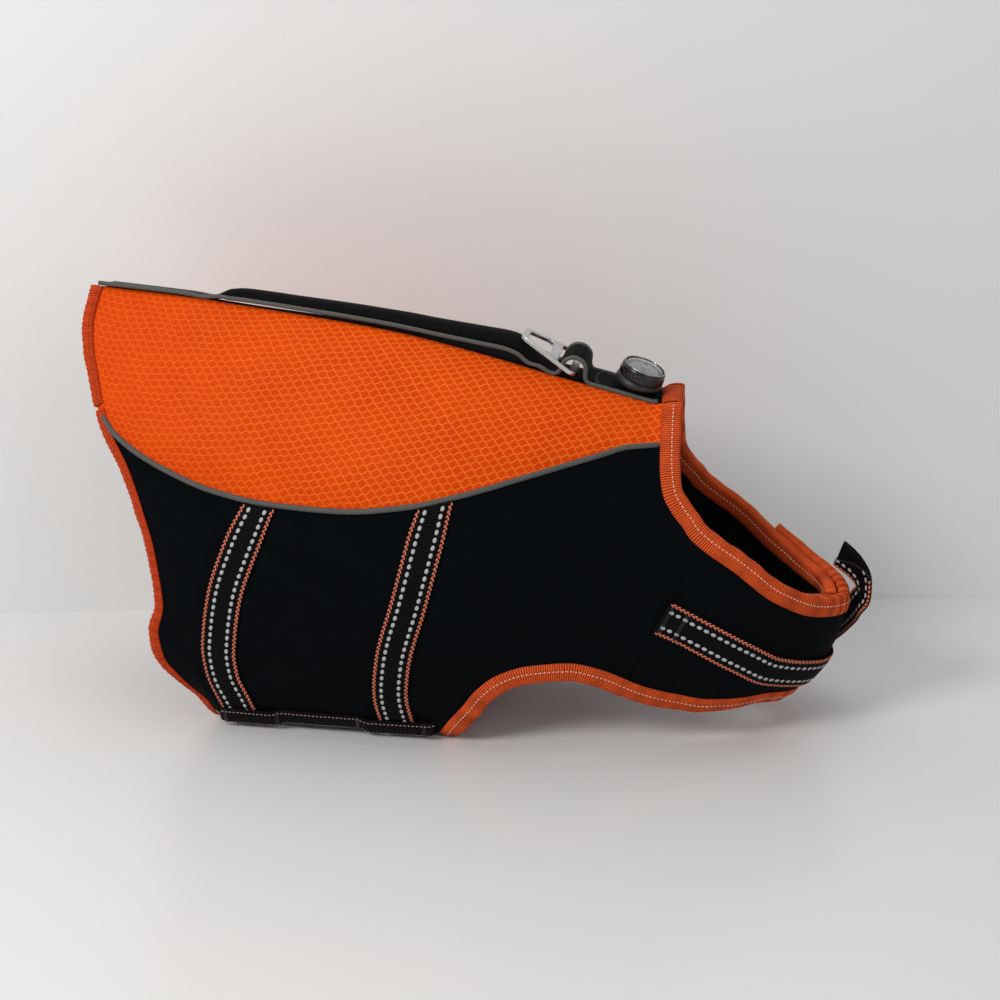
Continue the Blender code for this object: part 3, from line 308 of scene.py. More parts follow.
# %% Sizes of the form
MM = 0.001
CENTRING = np.array([-0.7, 0.0, 0.2])
NEAR, FAR = -1, 1
SIDES = {"near": NEAR, "far": FAR}
CHEST_START = 150.0      # along which the sides begin to turn in round the chest
CHEST_DEPTH = 99.0       # from there to the foremost point
CHEST_TURN = 84.0        # way along the form for each radian round the chest
FRONT = CHEST_START + CHEST_TURN * pi / 2
FLAP_END = 362.0         # along which each chest flap stops, on the other side of the front
FLAP_LAP = 9.0           # how far the outer flap stands off the inner one where they lap
RIDGE_TURN = radians(62)  # how far the section has turned in where it meets the spine
CLOTH = 3.0              # neoprene, and the seam allowance of the foam panels
FOAM_OUT, FOAM_IN = 2.0, 6.0   # how far the foam swells outwards and inwards from that
WEBBING = 1.6
WEBBING_HALF = 12.5
SEAM_GAP = 0.6           # between pieces that are sewn together
STRAP_GAP = 1.1          # under a strap that crosses the round chest
GIRTH_GAP = 0.7          # and under the girth straps
TAPE = 1.2               # edge binding
TAPE_DEPTH = 12.0        # how far it reaches over each face of the panel
REAR_TAPE_DEPTH = 6.5    # the elastic rear binding is narrower
TAPE_GAP, TAPE_GAP_IN = 0.9, 1.6   # between it and the panel's outer and inner face
PIPING_R = 1.9
RIM_TUCK = 7.0           # how far the elastic binding pulls the rear rim in
RIM_TUCK_WIDTH = 24.0
COLLAR_FLARE = 7.0       # how far the collar stands up at the neck end of the spine
FLARE_START, FLARE_LENGTH = 118.0, 20.0
KEEPER_HALF = 9.0
RIDGE_PULL, LOW_PULL = 54.0, 57.0   # how much shorter the chest is at the ridge and at the low level
FORM_COLUMNS = ("along", "half_width", "ridge", "wide", "low", "ridge_half", "low_half", "lean", "low_turn")
FORM_ROWS = (
    (-275, 80, 303.5, 135, 18, 14.3, 46, -11, 85),
    (-195, 88, 296.0, 128, 9, 14.3, 52, -11, 88),
    (-172, 91, 293.0, 125, 2.1, 14.3, 54, -11, 90),
    (-60, 95, 278.5, 116, 2.1, 14.3, 55, -6, 90),
    (0, 93, 266.5, 113, 2.1, 14.3, 55, 0, 90),
    (60, 85, 252.0, 112, 4, 14.3, 50, 6, 88),
    (124, 72.5, 236.0, 110, 12, 14.3, 42, 7, 82),
    (150, 68, 229.0, 108, 13, 14.3, 36, 7, 80),
    (216, 68, 210.0, 99, 17, 14.3, 30, 7, 75),
    (282, 68, 198.0, 95, 20, 14.3, 28, 7, 72),
)
PIPING_ROWS = (  # along, z of the seam between foam panel and side panel
    (-254, 230), (-243, 216), (-194, 190), (-164, 181), (-132, 175.5), (-80, 173), (-37, 177), (-9, 183),
    (44, 197), (88, 208), (106, 212), (138, 213),
)
REAR_ROWS = (  # z, along of the rear edge
    (8, -186), (22, -197), (38, -210), (55, -220), (75, -222), (97, -216), (133, -219), (164, -227),
    (191, -237), (214, -250), (229, -256), (252, -263), (267, -268), (285, -271), (305, -270),
)
NECK_ROWS = (  # along, z of the neck edge below the foam panel, as far as the front
    (138, 213), (138.5, 200), (141, 186), (156, 165), (183, 143), (208, 121), (238, 107), (282, 100),
)
LOWER_ROWS = (  # along, z of the leg opening and the lower edge of the chest
    (-10, 2), (-2, 14), (8, 27), (17, 40), (29, 50), (45, 55.5), (70, 57.5), (87, 53), (117, 38), (140, 30),
    (166, 26), (190, 26), (230, 27.5), (282, 30),
)
SIDE_FRONT_ROWS = (  # z, along of the chest seam, then of the neck edge above it
    (42.5, 108), (70, 118), (85, 126), (115, 141), (150, 151.5), (165, 155.4), (177, 146.8), (186, 141),
    (200, 138.5), (213, 138),
)
GIRTH_ROWS = {  # z, along of each girth strap's middle line, from the piping down to the belly
    "rear": ((2, -159), (26, -164), (47, -170), (63, -171), (80, -169), (110, -163), (143, -151), (180, -134)),
    "front": ((2, -47), (19, -49), (39, -51), (66, -48), (113, -35), (180, -18)),
}
CHEST_STRAP_ROWS = ((132, 103), (154, 91), (182, 73), (209, 58), (232, 53), (262, 51), (300, 51))  # along, z
KEEPER_TURN = -0.74
KEEPER_ENDS = (-176.0, -23.0)

print("table rows", len(FORM_ROWS) + len(REAR_ROWS) + len(LOWER_ROWS))

# %% Smooth tables
def smooth_through(rows, key, value, at):
    """Monotone cubic through two columns of a table, straight on past its ends."""
    xs = np.array([row[key] for row in rows], float)
    ys = np.array([row[value] for row in rows], float)
    slope = np.diff(ys) / np.diff(xs)
    before, after = slope[:-1], slope[1:]
    same = before * after > 0
    inner = np.where(same, 2 * before * after / np.where(same, before + after, 1), 0)
    ends = np.concatenate([slope[:1], inner, slope[-1:]])
    at = np.asarray(at, float)
    i = np.clip(np.searchsorted(xs, at) - 1, 0, len(xs) - 2)
    step = xs[i + 1] - xs[i]
    t = np.clip((at - xs[i]) / step, 0, 1)
    past = at - np.clip(at, xs[0], xs[-1])
    here = (ys[i] * (1 + 2 * t) * (1 - t) ** 2 + ys[i + 1] * t * t * (3 - 2 * t)
            + step * (ends[i] * t * (1 - t) ** 2 + ends[i + 1] * t * t * (t - 1)))
    return here + past * np.where(past < 0, slope[0], slope[-1])


def form_value(name, along):
    """A column of the form's table at these places, mirrored past the front."""
    folded = FRONT - np.abs(np.asarray(along, float) - FRONT)
    folded = np.where(np.asarray(along) < FRONT, along, folded)
    return smooth_through(FORM_ROWS, 0, FORM_COLUMNS.index(name), folded)


def ease(x):
    """Smooth step from 0 to 1."""
    x = np.clip(x, 0, 1)
    return x * x * (3 - 2 * x)


def unit(vectors):
    """Vectors divided by their own lengths."""
    return vectors / np.linalg.norm(vectors, axis=-1, keepdims=True)


# %% The form itself
def form(side, along, turn):
    """Point of the form.

    On the plan the widest level is a straight side, then half an ellipse round the chest. Above and below
    it the section draws in: the sides by `inset`, and the chest, on a shorter ellipse, by `pull`.
    """
    along, turn = np.broadcast_arrays(np.asarray(along, float), np.asarray(turn, float))
    half, wide, low, low_half = (form_value(name, along) for name in ("half_width", "wide", "low", "low_half"))
    lean = np.sin(np.radians(form_value("lean", along)))
    ridge_half = form_value("ridge_half", along)
    ridge = form_value("ridge", along) + side * ridge_half * lean
    low_turn = np.radians(form_value("low_turn", along))
    up = np.maximum(turn, 0) * RIDGE_TURN
    down = -np.clip(turn, -1, 0) * low_turn
    over = (1 - np.cos(up)) / (1 - cos(RIDGE_TURN))
    under = (1 - np.cos(down)) / (1 - np.cos(low_turn))
    z = wide + (ridge - wide) * np.sin(up) / sin(RIDGE_TURN) - (wide - low) * np.sin(down) / np.sin(low_turn)
    inset = (half - ridge_half) * over + (half - low_half) * under - low_half * np.minimum(turn + 1, 0)
    pull = RIDGE_PULL * over + LOW_PULL * under
    rim = np.clip(1 - (along - smooth_through(REAR_ROWS, 0, 1, z)) / RIM_TUCK_WIDTH, 0, 1.5) ** 2
    rim = rim * (0.25 + 0.75 * ease(np.abs(z - 62) / 45)) * ease((z - 4) / 20) * (1 - over)
    flare = COLLAR_FLARE * ease((along - FLARE_START) / FLARE_LENGTH) * ease((z - 190) / 50)
    around = np.clip((along - CHEST_START) / CHEST_TURN, 0, pi)
    x = np.minimum(along, CHEST_START) + (CHEST_DEPTH - pull) * np.sin(around)
    y = (half - inset - RIM_TUCK * rim + flare * np.cos(up)) * np.cos(around)
    return np.stack([x, side * y, z + flare * np.sin(up)], -1)


def slopes(side, along, turn):
    """How the form moves for a small step along and a small turn."""
    d_along = (form(side, along + 0.2, turn) - form(side, along - 0.2, turn)) / 0.4
    d_turn = (form(side, along, turn + 0.002) - form(side, along, turn - 0.002)) / 0.004
    return d_along, d_turn


def skin(side, along, turn, out):
    """Point of the form moved out along its normal."""
    along, turn = np.broadcast_arrays(np.asarray(along, float), np.asarray(turn, float))
    d_along, d_turn = slopes(side, along, turn)
    normal = -side * unit(np.cross(d_along, d_turn))
    return form(side, along, turn) + normal * np.broadcast_to(out, along.shape)[..., None]


def turn_at(side, along, z):
    """The turn at which the section reaches this height."""
    along, z = np.broadcast_arrays(np.asarray(along, float), np.asarray(z, float))
    wide, low = form_value("wide", along), form_value("low", along)
    lean = np.sin(np.radians(form_value("lean", along)))
    ridge = form_value("ridge", along) + side * form_value("ridge_half", along) * lean
    low_turn = np.radians(form_value("low_turn", along))
    up = np.arcsin(np.clip((z - wide) / (ridge - wide) * sin(RIDGE_TURN), 0, 0.999)) / RIDGE_TURN
    down = np.arcsin(np.clip((wide - z) / (wide - low) * np.sin(low_turn), 0, 1)) / low_turn
    return np.minimum(up, 1) - np.minimum(down, 1)


def beside(side, along, turn, step, distance):
    """Form coordinates of the points at a distance across a line on the form, to the left of its direction.

    The line's direction is step, in form coordinates. The way across is worked out in space and brought
    back through the form's two slopes by least squares.
    """
    d_along, d_turn = slopes(side, along, turn)
    ahead = unit(d_along * step[:, :1] + d_turn * step[:, 1:])
    across = np.cross(-side * unit(np.cross(d_along, d_turn)), ahead)
    aa, bb, ab = (np.sum(p * q, -1) for p, q in ((d_along, d_along), (d_turn, d_turn), (d_along, d_turn)))
    ca, cb = np.sum(across * d_along, -1), np.sum(across * d_turn, -1)
    det = aa * bb - ab * ab
    move = np.stack([(ca * bb - cb * ab) / det, (cb * aa - ca * ab) / det], -1)
    return along + distance * move[:, 0], turn + distance * move[:, 1]

# %% Lines on the form
def placed(points):
    """Points of the form in the part's own frame, in metres: over the middle of its box, resting on z = 0."""
    return (np.asarray(points) + CENTRING) * MM


def even(first, last, count):
    """Numbers with equal steps from the first to the last."""
    return np.linspace(first, last, count)


def along_edge_at(side, rows, along):
    """Line given by a table of along and z, as form coordinates, mirrored past the front."""
    folded = np.where(along < FRONT, along, 2 * FRONT - along)
    return np.stack([along, turn_at(side, along, smooth_through(rows, 0, 1, folded))], -1)


def along_edge(side, rows, first, last, count):
    """The same between two places along, at even steps."""
    return along_edge_at(side, rows, even(first, last, count))


def up_edge_at(side, rows, z):
    """Line given by a table of z and along, as form coordinates."""
    along = smooth_through(rows, 0, 1, z)
    return np.stack([along, turn_at(side, along, z)], -1)


def resample(line, count, side):
    """The same line with this many points evenly spaced in space, or with points at these fractions of it."""
    steps = even(0, 1, count) if np.isscalar(count) else count
    way = fractions(line, side)
    return np.stack([np.interp(steps, way, line[:, k]) for k in (0, 1)], -1)


def fractions(line, side):
    """How far along a line each of its points lies in space, from 0 to 1."""
    points = form(side, line[:, 0], line[:, 1])
    way = np.concatenate([[0], np.cumsum(np.linalg.norm(np.diff(points, axis=0), axis=1))])
    return way / way[-1]


def trimmed(line, side, before, after):
    """The same line with its ends cut short by these distances."""
    points = form(side, line[:, 0], line[:, 1])
    way = np.concatenate([[0], np.cumsum(np.linalg.norm(np.diff(points, axis=0), axis=1))])
    kept = way[(way > before + 1) & (way < way[-1] - after - 1)]
    at = np.concatenate([[before], kept, [way[-1] - after]])
    return np.stack([np.interp(at, way, line[:, k]) for k in (0, 1)], -1)


def shift_line(side, line, distance):
    """A line on the form moved sideways on it, to its left."""
    along, turn = beside(side, line[:, 0], line[:, 1], np.gradient(line, axis=0), distance)
    return np.stack([along, turn], -1)


def lap(side, along):
    """How far a chest flap is moved out (near, outer flap) or in (far, inner flap) where the two lap."""
    if side == NEAR:
        return FLAP_LAP * ease((along - 212) / 66)
    return -FLAP_LAP * ease((along - (2 * FRONT - 278)) / 66)

print("foremost point", form(NEAR, FRONT, 0).round(1))

# %% [markdown]
# ## Making a mesh from a grid
#
# A piece of cloth is a wall between two grids of points, its outer and its inner face, joined round the rim. The
# helpers below turn such grids into closed meshes, carry the millimetre coordinates of the cloth along as a UV
# map, add fine waves of height along the surface's own normals, and make coarse rails smooth.

# %% Mesh helpers
def new_piece(name, points, faces, finish, cloth=None):
    """Object from points (n x 3, millimetres), arrays of faces, and a cloth coordinate for each point.

    The faces are turned round together if they enclose a negative volume, so that they point outwards.
    """
    corners = np.concatenate([f.reshape(-1) for f in faces])
    counts = np.concatenate([np.full(len(f), f.shape[1]) for f in faces])
    volume = sum(np.sum(points[f[:, 0]] * np.cross(points[f[:, k]], points[f[:, k + 1]]))
                 for f in faces for k in range(1, f.shape[1] - 1))
    if volume < 0:
        faces = [f[:, ::-1] for f in faces]
        corners = np.concatenate([f.reshape(-1) for f in faces])
    mesh = bpy.data.meshes.new(name)
    mesh.vertices.add(len(points))
    mesh.vertices.foreach_set("co", placed(points).ravel())
    mesh.loops.add(len(corners))
    mesh.loops.foreach_set("vertex_index", corners.astype(np.int32))
    mesh.polygons.add(len(counts))
    mesh.polygons.foreach_set("loop_start", np.concatenate([[0], np.cumsum(counts)[:-1]]).astype(np.int32))
    mesh.update(calc_edges=True)
    mesh.shade_smooth()
    if cloth is not None:
        layer = mesh.uv_layers.new(name="cloth")
        layer.data.foreach_set("uv", cloth[corners].ravel())
    mesh.materials.append(finish)
    made = bpy.data.objects.new(name, mesh)
    bpy.context.collection.objects.link(made)
    return made


def fitted(piece, slot, nodes, body="jacket"):
    """Attaches a finished piece to what it rides on and hides the CAD nodes it stands for; `slot` is not used."""
    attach(piece, body)
    if nodes:
        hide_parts(*nodes)
    print(piece.name, len(piece.data.polygons), "faces")
    return piece


def ways(points):
    """Distances along the first axis of a grid, down each of its columns."""
    steps = np.linalg.norm(np.diff(points, axis=0), axis=-1)
    return np.concatenate([np.zeros((1,) + steps.shape[1:]), np.cumsum(steps, 0)])


def cloth_of(grid, start=0.0):
    """Cloth coordinates of a grid: millimetres along its rows and across its columns, from its middle."""
    middle = ways(grid)[:, grid.shape[1] // 2]
    across = ways(grid.swapaxes(0, 1)).T
    across = across - across[:, across.shape[1] // 2][:, None]
    return np.stack([np.broadcast_to(middle[:, None] + start, across.shape), across], -1)


def shell(name, outer, inner, finish, cloth=None):
    """Closed wall between two grids of points, joined round their rim."""
    rows, columns = outer.shape[:2]
    index = np.arange(rows * columns).reshape(rows, columns)
    cells = np.stack([index[:-1, :-1], index[1:, :-1], index[1:, 1:], index[:-1, 1:]], -1).reshape(-1, 4)
    rim = np.concatenate([index[:, 0], index[-1, 1:], index[-2::-1, -1], index[0, -2:0:-1]])
    count = rows * columns
    sides = np.stack([rim + count, np.roll(rim, -1) + count, np.roll(rim, -1), rim], -1)
    cloth = cloth_of(outer) if cloth is None else cloth
    points = np.concatenate([outer.reshape(-1, 3), inner.reshape(-1, 3)])
    return new_piece(name, points, [np.concatenate([cells, cells[:, ::-1] + count, sides])], finish,
                     np.tile(cloth.reshape(-1, 2), (2, 1)))


def tube(name, rings, finish, closed=False):
    """Solid carried through closed rings of points, capped at its ends unless it closes on itself."""
    stations, corners = rings.shape[:2]
    index = np.arange(stations * corners).reshape(stations, corners)
    ahead = np.roll(index, -1, 0) if closed else index[1:]
    here = index if closed else index[:-1]
    cells = np.stack([here, ahead, np.roll(ahead, -1, 1), np.roll(here, -1, 1)], -1).reshape(-1, 4)
    faces = [cells] if closed else [cells, np.stack([index[0], index[-1, ::-1]])]
    return new_piece(name, rings.reshape(-1, 3), faces, finish, cloth_of(rings).reshape(-1, 2))


def normals(grid, away_from):
    """Unit normals of a grid of points, on the side away from another grid."""
    across = np.cross(np.gradient(grid, axis=0), np.gradient(grid, axis=1))
    across = unit(across + 1e-12)
    return across * np.sign(np.sum(across * (grid - away_from), -1, keepdims=True))


def raised(outer, inner, amount):
    """Outer grid moved out along its normals by an amount for each point."""
    return outer + normals(outer, inner) * np.broadcast_to(amount, outer.shape[:2])[..., None]


def refine(rails, step, keep=None):
    """Denser stations: a cubic through the given ones, evenly spaced along the middle rail."""
    way = ways(rails)[:, rails.shape[1] // 2] if keep is None else keep
    at = np.linspace(0, way[-1], int(round(way[-1] / step)) + 1)
    slope = np.gradient(rails, way, axis=0)
    i = np.clip(np.searchsorted(way, at, side="right") - 1, 0, len(way) - 2)
    gap = (way[i + 1] - way[i])[:, None, None]
    t = ((at - way[i]) / (way[i + 1] - way[i]))[:, None, None]
    return (rails[i] * (1 + 2 * t) * (1 - t) ** 2 + rails[i + 1] * t * t * (3 - 2 * t)
            + gap * (slope[i] * t * (1 - t) ** 2 + slope[i + 1] * t * t * (t - 1)))


def uneven(way, seed, size):
    """Slow irregular wave between about -1 and 1, with bumps of about this size, the same for the same seed."""
    dice = np.random.default_rng(seed)
    total = sum(np.sin(way * tau / (size * dice.uniform(0.7, 1.9)) + dice.uniform(0, tau)) for _ in range(4))
    return total / 2.6

# %% [markdown]
# ## Rows of stitches
#
# A jacket like this shows hundreds of stitches. Each is a low pebble of thread with only 18 faces, and a row of
# them is one mesh: the same pebble is set down along a lane of a grid, turned to the lane's own directions.

# %% Stitch rows
def lane(outer, inner, place, pitch, first=0.0, last=None):
    """Points every `pitch` millimetres along a lane of a grid, with the directions ahead, aside and outwards."""
    column = place * (outer.shape[1] - 1)
    low = int(np.clip(np.floor(column), 0, outer.shape[1] - 2))
    part = column - low
    line = outer[:, low] * (1 - part) + outer[:, low + 1] * part
    back = inner[:, low] * (1 - part) + inner[:, low + 1] * part
    beside_it = outer[:, low + 1] - outer[:, low]
    way = ways(line)
    at = np.arange(first, (way[-1] if last is None else last) - 0.01, pitch)

    def here(values):
        """Values along the lane, read at the spots."""
        return np.stack([np.interp(at, way, values[:, k]) for k in range(3)], -1)

    ahead = unit(here(np.gradient(line, way, axis=0)))
    aside = here(unit(beside_it))
    aside = unit(aside - ahead * np.sum(aside * ahead, -1, keepdims=True))
    out = np.cross(ahead, aside)
    out = out * np.sign(np.sum(out * (here(line) - here(back)), -1, keepdims=True))
    return here(line), ahead, aside, out


def pebbles(frames, length, width, height, turned=0.0):
    """Points and faces of a row of low pebbles: three rings of eight points each, and two caps."""
    centre, ahead, aside, out = frames
    round_it = np.linspace(0, tau, 9)[:-1]
    rings = [(0.8, -0.25), (1.0, 0.35), (0.62, 1.0)]
    a = np.concatenate([scale * np.cos(round_it) * length / 2 for scale, _ in rings])
    b = np.concatenate([scale * np.sin(round_it) * width / 2 for scale, _ in rings])
    c = np.repeat([up * height for _, up in rings], 8)
    a, b = a * cos(turned) - b * sin(turned), a * sin(turned) + b * cos(turned)
    points = (centre[:, None] + ahead[:, None] * a[None, :, None] + aside[:, None] * b[None, :, None]
              + out[:, None] * c[None, :, None])
    index = np.arange(24).reshape(3, 8)
    quads = np.stack([index[:-1], np.roll(index[:-1], -1, 1), np.roll(index[1:], -1, 1), index[1:]], -1)
    step = 24 * np.arange(len(centre))[:, None, None]
    quads = (quads.reshape(1, -1, 4) + step).reshape(-1, 4)
    caps = (np.stack([index[0, ::-1], index[2]])[None] + step).reshape(-1, 8)
    return points.reshape(-1, 3), quads, caps


def sewn(name, rows, finish, slot, body="jacket"):
    """One mesh of many rows of stitches; each row is (frames, length, width, height[, turned])."""
    points, quads, caps, count = [], [], [], 0
    for row in rows:
        p, q, c = pebbles(*row)
        points.append(p)
        quads.append(q + count)
        caps.append(c + count)
        count += len(p)
    piece = new_piece(name, np.concatenate(points), [np.concatenate(quads), np.concatenate(caps)], finish)
    return fitted(piece, slot, (), body)


print("stitch helpers ready")

# %% [markdown]
# ## Panels
#
# Each panel is a patch of the form between four edge lines. A Coons patch blends the lines into a grid: straight
# mixes of opposite edges, minus the mix of the corners that both counted. The dense grids here use the same edge
# tables as the CAD model, so the cloth lies exactly where its solid is.

# %% Patches
def pick(line, steps):
    """Points of a line at these fractions of its point count."""
    places = even(0, 1, len(line))
    return np.stack([np.interp(steps, places, line[:, k]) for k in (0, 1)], -1)


def patch(bottom, top, rear, front, u, v):
    """Coons patch: bottom and top hold a point for each step u, rear and front one for each step v."""
    u_grid, v_grid = u[:, None, None], v[None, :, None]
    across = bottom[:, None] * (1 - v_grid) + top[:, None] * v_grid
    upward = rear[None] * (1 - u_grid) + front[None] * u_grid
    corners = ((bottom[0] * (1 - v_grid) + top[0] * v_grid) * (1 - u_grid)
               + (bottom[-1] * (1 - v_grid) + top[-1] * v_grid) * u_grid)
    return across + upward - corners

# %% Grids of the panels
BELLY_COLUMNS, ARCH_COLUMNS = 100, 80
SEAM_Z = np.concatenate([np.linspace(42.5, 155, 36), [159.5, 163.5]])
PIPING_TUCK = 0.9        # how near to the piping's line the two panels reach
CHEST_SEAM_LAP = 0.3
BELLY_REAR, BELLY_FRONT, SEAM_FOOT, NECK_END = -186, -10, 108, 138.0   # along of the panels' corners


def foam_grid(side):
    """Foam panel from the piping seam up to the spine, and how far each point is into its swollen middle."""
    u, v = even(0, 1, 220), even(0, 1, 72)
    seam = shift_line(side, along_edge(side, PIPING_ROWS, -256, NECK_END, 300), side * -PIPING_TUCK)
    top = np.stack([even(-270, NECK_END, 300), np.ones(300)], -1)
    rear_z = smooth_through(((0, 230), (1, 303)), 0, 1, v[1:-1])
    rear = np.stack([smooth_through(REAR_ROWS, 0, 1, rear_z), turn_at(side, -260, rear_z)], -1)
    rear = np.concatenate([seam[:1], rear, top[:1]])
    front = np.stack([np.full(len(v), NECK_END), seam[-1, 1] + (1 - seam[-1, 1]) * v], -1)
    front[0] = seam[-1]
    swell = (ease((u - 0.018) / 0.1) * ease((0.964 - u) / 0.1))[:, None] * ease(v / 0.22) * ease((1 - v) / 0.22)
    return patch(pick(seam, u), pick(top, u), rear, front, u, v), swell


def seam_steps(side):
    """The side panel's front column, and how far up it each row lies, from 0 to 1, measured by its turn."""
    top_z = smooth_through(PIPING_ROWS, 0, 1, NECK_END) - PIPING_TUCK
    front = up_edge_at(side, SIDE_FRONT_ROWS, np.concatenate([SEAM_Z, np.linspace(166, top_z, 18)]))
    return front, (front[:, 1] - front[0, 1]) / (front[-1, 1] - front[0, 1])


def side_grid(side):
    """Side panel from the belly edge and the leg opening up to the piping; its front is seam, then neck edge."""
    front, v = seam_steps(side)
    belly = np.stack([even(BELLY_REAR, BELLY_FRONT, BELLY_COLUMNS), np.full(BELLY_COLUMNS, -1.0)], -1)
    arch_steps = even(0, 1, ARCH_COLUMNS) ** 1.3
    arch = resample(along_edge(side, LOWER_ROWS, BELLY_FRONT, SEAM_FOOT, 200), arch_steps, side)[1:]
    lower = np.concatenate([belly, arch[:-1], front[:1]])
    over_arch = -15 + 153 * (arch_steps + even(0, 1, ARCH_COLUMNS)) / 2
    upper_along = np.concatenate([even(-255.5, -15, BELLY_COLUMNS), over_arch[1:]])
    upper = shift_line(side, along_edge_at(side, PIPING_ROWS, upper_along), side * PIPING_TUCK)
    upper[-1] = front[-1]
    rear_turn = -1 + v * (upper[0, 1] + 1)
    rear = up_edge_at(side, REAR_ROWS, form(side, -220, rear_turn)[:, 2])
    rear = np.concatenate([lower[:1], rear[1:-1], upper[:1]])
    return patch(lower, upper, rear, front, fractions(lower, side), v)


def flap_grid(side):
    """Chest flap from the chest seam round the front to its end on the other side."""
    steps = even(0, 1, 130)
    lower = along_edge_at(side, LOWER_ROWS, 109.5 + (FLAP_END - 8 - 109.5) * steps)
    upper = along_edge_at(side, NECK_ROWS, 157.0 + (FLAP_END - 157.0) * steps)
    front, v = seam_steps(side)
    seam = shift_line(side, front[:len(SEAM_Z)], side * -CHEST_SEAM_LAP)
    v = v[:len(SEAM_Z)] / v[len(SEAM_Z) - 1]
    rear = np.concatenate([lower[:1], seam[1:-1], upper[:1]])
    end = lower[-1] * (1 - v[:, None]) + upper[-1] * v[:, None]
    return patch(lower, upper, rear, end, steps, v)

# %% [markdown]
# ### Creases
#
# Neoprene is stiff, so it does not wrinkle like a shirt: it shows a few long soft troughs where it is pulled,
# beside straps and where a panel turns a corner. Each row of the table is one trough: where it starts and
# ends on the side, how wide and how deep it is. A minus depth makes a ridge.

# %% Creases
SIDE_CREASES = {  # along, z, to along, to z, width, depth
    "near": (
        (-243, 196, -196, 168, 6, 1.3), (-236, 172, -188, 148, 8, 1.1), (-224, 118, -184, 104, 9, 1.2),
        (-219, 84, -188, 66, 8, 1.4), (-132, 150, -122, 92, 10, -1.0), (-141, 84, -133, 30, 8, 1.0),
        (-96, 158, -62, 120, 11, 0.9), (-84, 100, -78, 44, 10, -0.9), (-8, 130, 22, 84, 9, 1.3),
        (2, 162, 46, 132, 8, 1.2), (40, 96, 70, 74, 7, 1.1), (84, 124, 112, 92, 7, 1.2),
        (76, 180, 118, 152, 8, 1.0), (104, 196, 132, 176, 6, 0.9), (-70, 34, -22, 24, 7, 0.8),
    ),
    "far": (
        (-240, 190, -190, 160, 7, 1.2), (-232, 160, -186, 142, 9, 1.0), (-222, 110, -186, 92, 9, 1.3),
        (-216, 74, -186, 60, 7, 1.2), (-124, 156, -118, 98, 10, -1.0), (-136, 76, -130, 34, 8, 1.1),
        (-90, 150, -58, 128, 12, 1.0), (-12, 124, 20, 92, 9, 1.2), (6, 168, 50, 138, 8, 1.0),
        (44, 90, 72, 70, 7, 1.2), (88, 130, 116, 100, 7, 1.1), (80, 184, 120, 160, 8, 1.0),
    ),
}
FLAP_CREASES = (
    (150, 96, 205, 74, 8, 1.0), (176, 118, 226, 92, 7, 0.8), (160, 52, 214, 44, 8, 0.9),
    (236, 88, 286, 60, 9, 1.0), (128, 74, 150, 112, 7, 0.9),
)
NECK_PULLS = ((134, 236, 100, 224, 5, 1.4), (132, 226, 96, 218, 4, 0.9), (128, 232, 112, 214, 4, 1.2))


def creased(rows, along, z):
    """How far the troughs push each point in: a bell across each one, fading towards its two ends."""
    total = np.zeros(np.broadcast_shapes(np.shape(along), np.shape(z)))
    for start, low, stop, high, width, depth in rows:
        run, rise = stop - start, high - low
        t = np.clip(((along - start) * run + (z - low) * rise) / (run * run + rise * rise), 0, 1)
        bow = 3.0 * np.sin(pi * t)
        off = np.hypot(along - start - t * run + bow, z - low - t * rise + bow)
        total += depth * np.exp(-(off / width) ** 2) * (0.35 + 0.65 * np.sin(pi * np.clip(t, 0.02, 0.98)))
    return total


def edge_calm(shape, rows, columns):
    """0 along the four edges of a grid, 1 once this many rows or columns in."""
    r, c = np.arange(shape[0]), np.arange(shape[1])
    down = ease(np.minimum(r, shape[0] - 1 - r) / rows)
    return down[:, None] * ease(np.minimum(c, shape[1] - 1 - c) / columns)[None]

# %% Foam panels
FOAM_START = -260.0      # along of the foam's rear edge, so that its cloth coordinate is about the same as along
grids = {}
for label, side in SIDES.items():
    grid, swell = foam_grid(side)
    along, turn = grid[..., 0], grid[..., 1]
    z = form(side, along, turn)[..., 2]
    rows_up = np.linspace(0, 1, grid.shape[1])[None]
    gathers = uneven(along, 11, 9) * np.exp(-rows_up / 0.10) * (rows_up > 0.004)
    soft = uneven(along + 0.6 * z, 5, 70) * uneven(z - 0.3 * along, 6, 60)
    pull = creased(NECK_PULLS, along, z)
    out = FOAM_OUT * swell + swell * (0.55 * soft - pull) + 0.35 * gathers * edge_calm(swell.shape, 8, 3)
    outer = skin(side, along, turn, out)
    inner = skin(side, along, turn, -CLOTH - FOAM_IN * swell + 0.4 * swell * soft)
    piece = shell("foam_cover_" + label, outer, inner, orange_ripstop, cloth_of(outer, FOAM_START))
    fitted(piece, "orange_ripstop", ["foam_panel_" + label])
    grids["foam", label] = grid

# %% Side panels and chest flaps
def strap_bulge(along, z):
    """Neoprene swells a little beside a tight girth strap and lies flat under it."""
    total = np.zeros(along.shape)
    for rows in GIRTH_ROWS.values():
        off = np.abs(along - smooth_through(rows, 0, 1, z))
        bell = ease((off - WEBBING_HALF - 2) / 6) * np.exp(-((off - 21) / 9) ** 2)
        total += 0.7 * bell * ease((190 - z) / 30)
    return total


def strap_room(along, z):
    """0 where a girth strap lies on the panel, 1 away from it."""
    off = np.min([np.abs(along - smooth_through(rows, 0, 1, z)) for rows in GIRTH_ROWS.values()], axis=0)
    return ease((off - WEBBING_HALF - 1) / 8)


def neoprene(name, node, outer, inner, flat):
    """Panel of neoprene between its two faces; `flat`, its cut in metres, is not used."""
    piece = shell(name, outer, inner, black_neoprene)
    fitted(piece, "black_neoprene", [node])


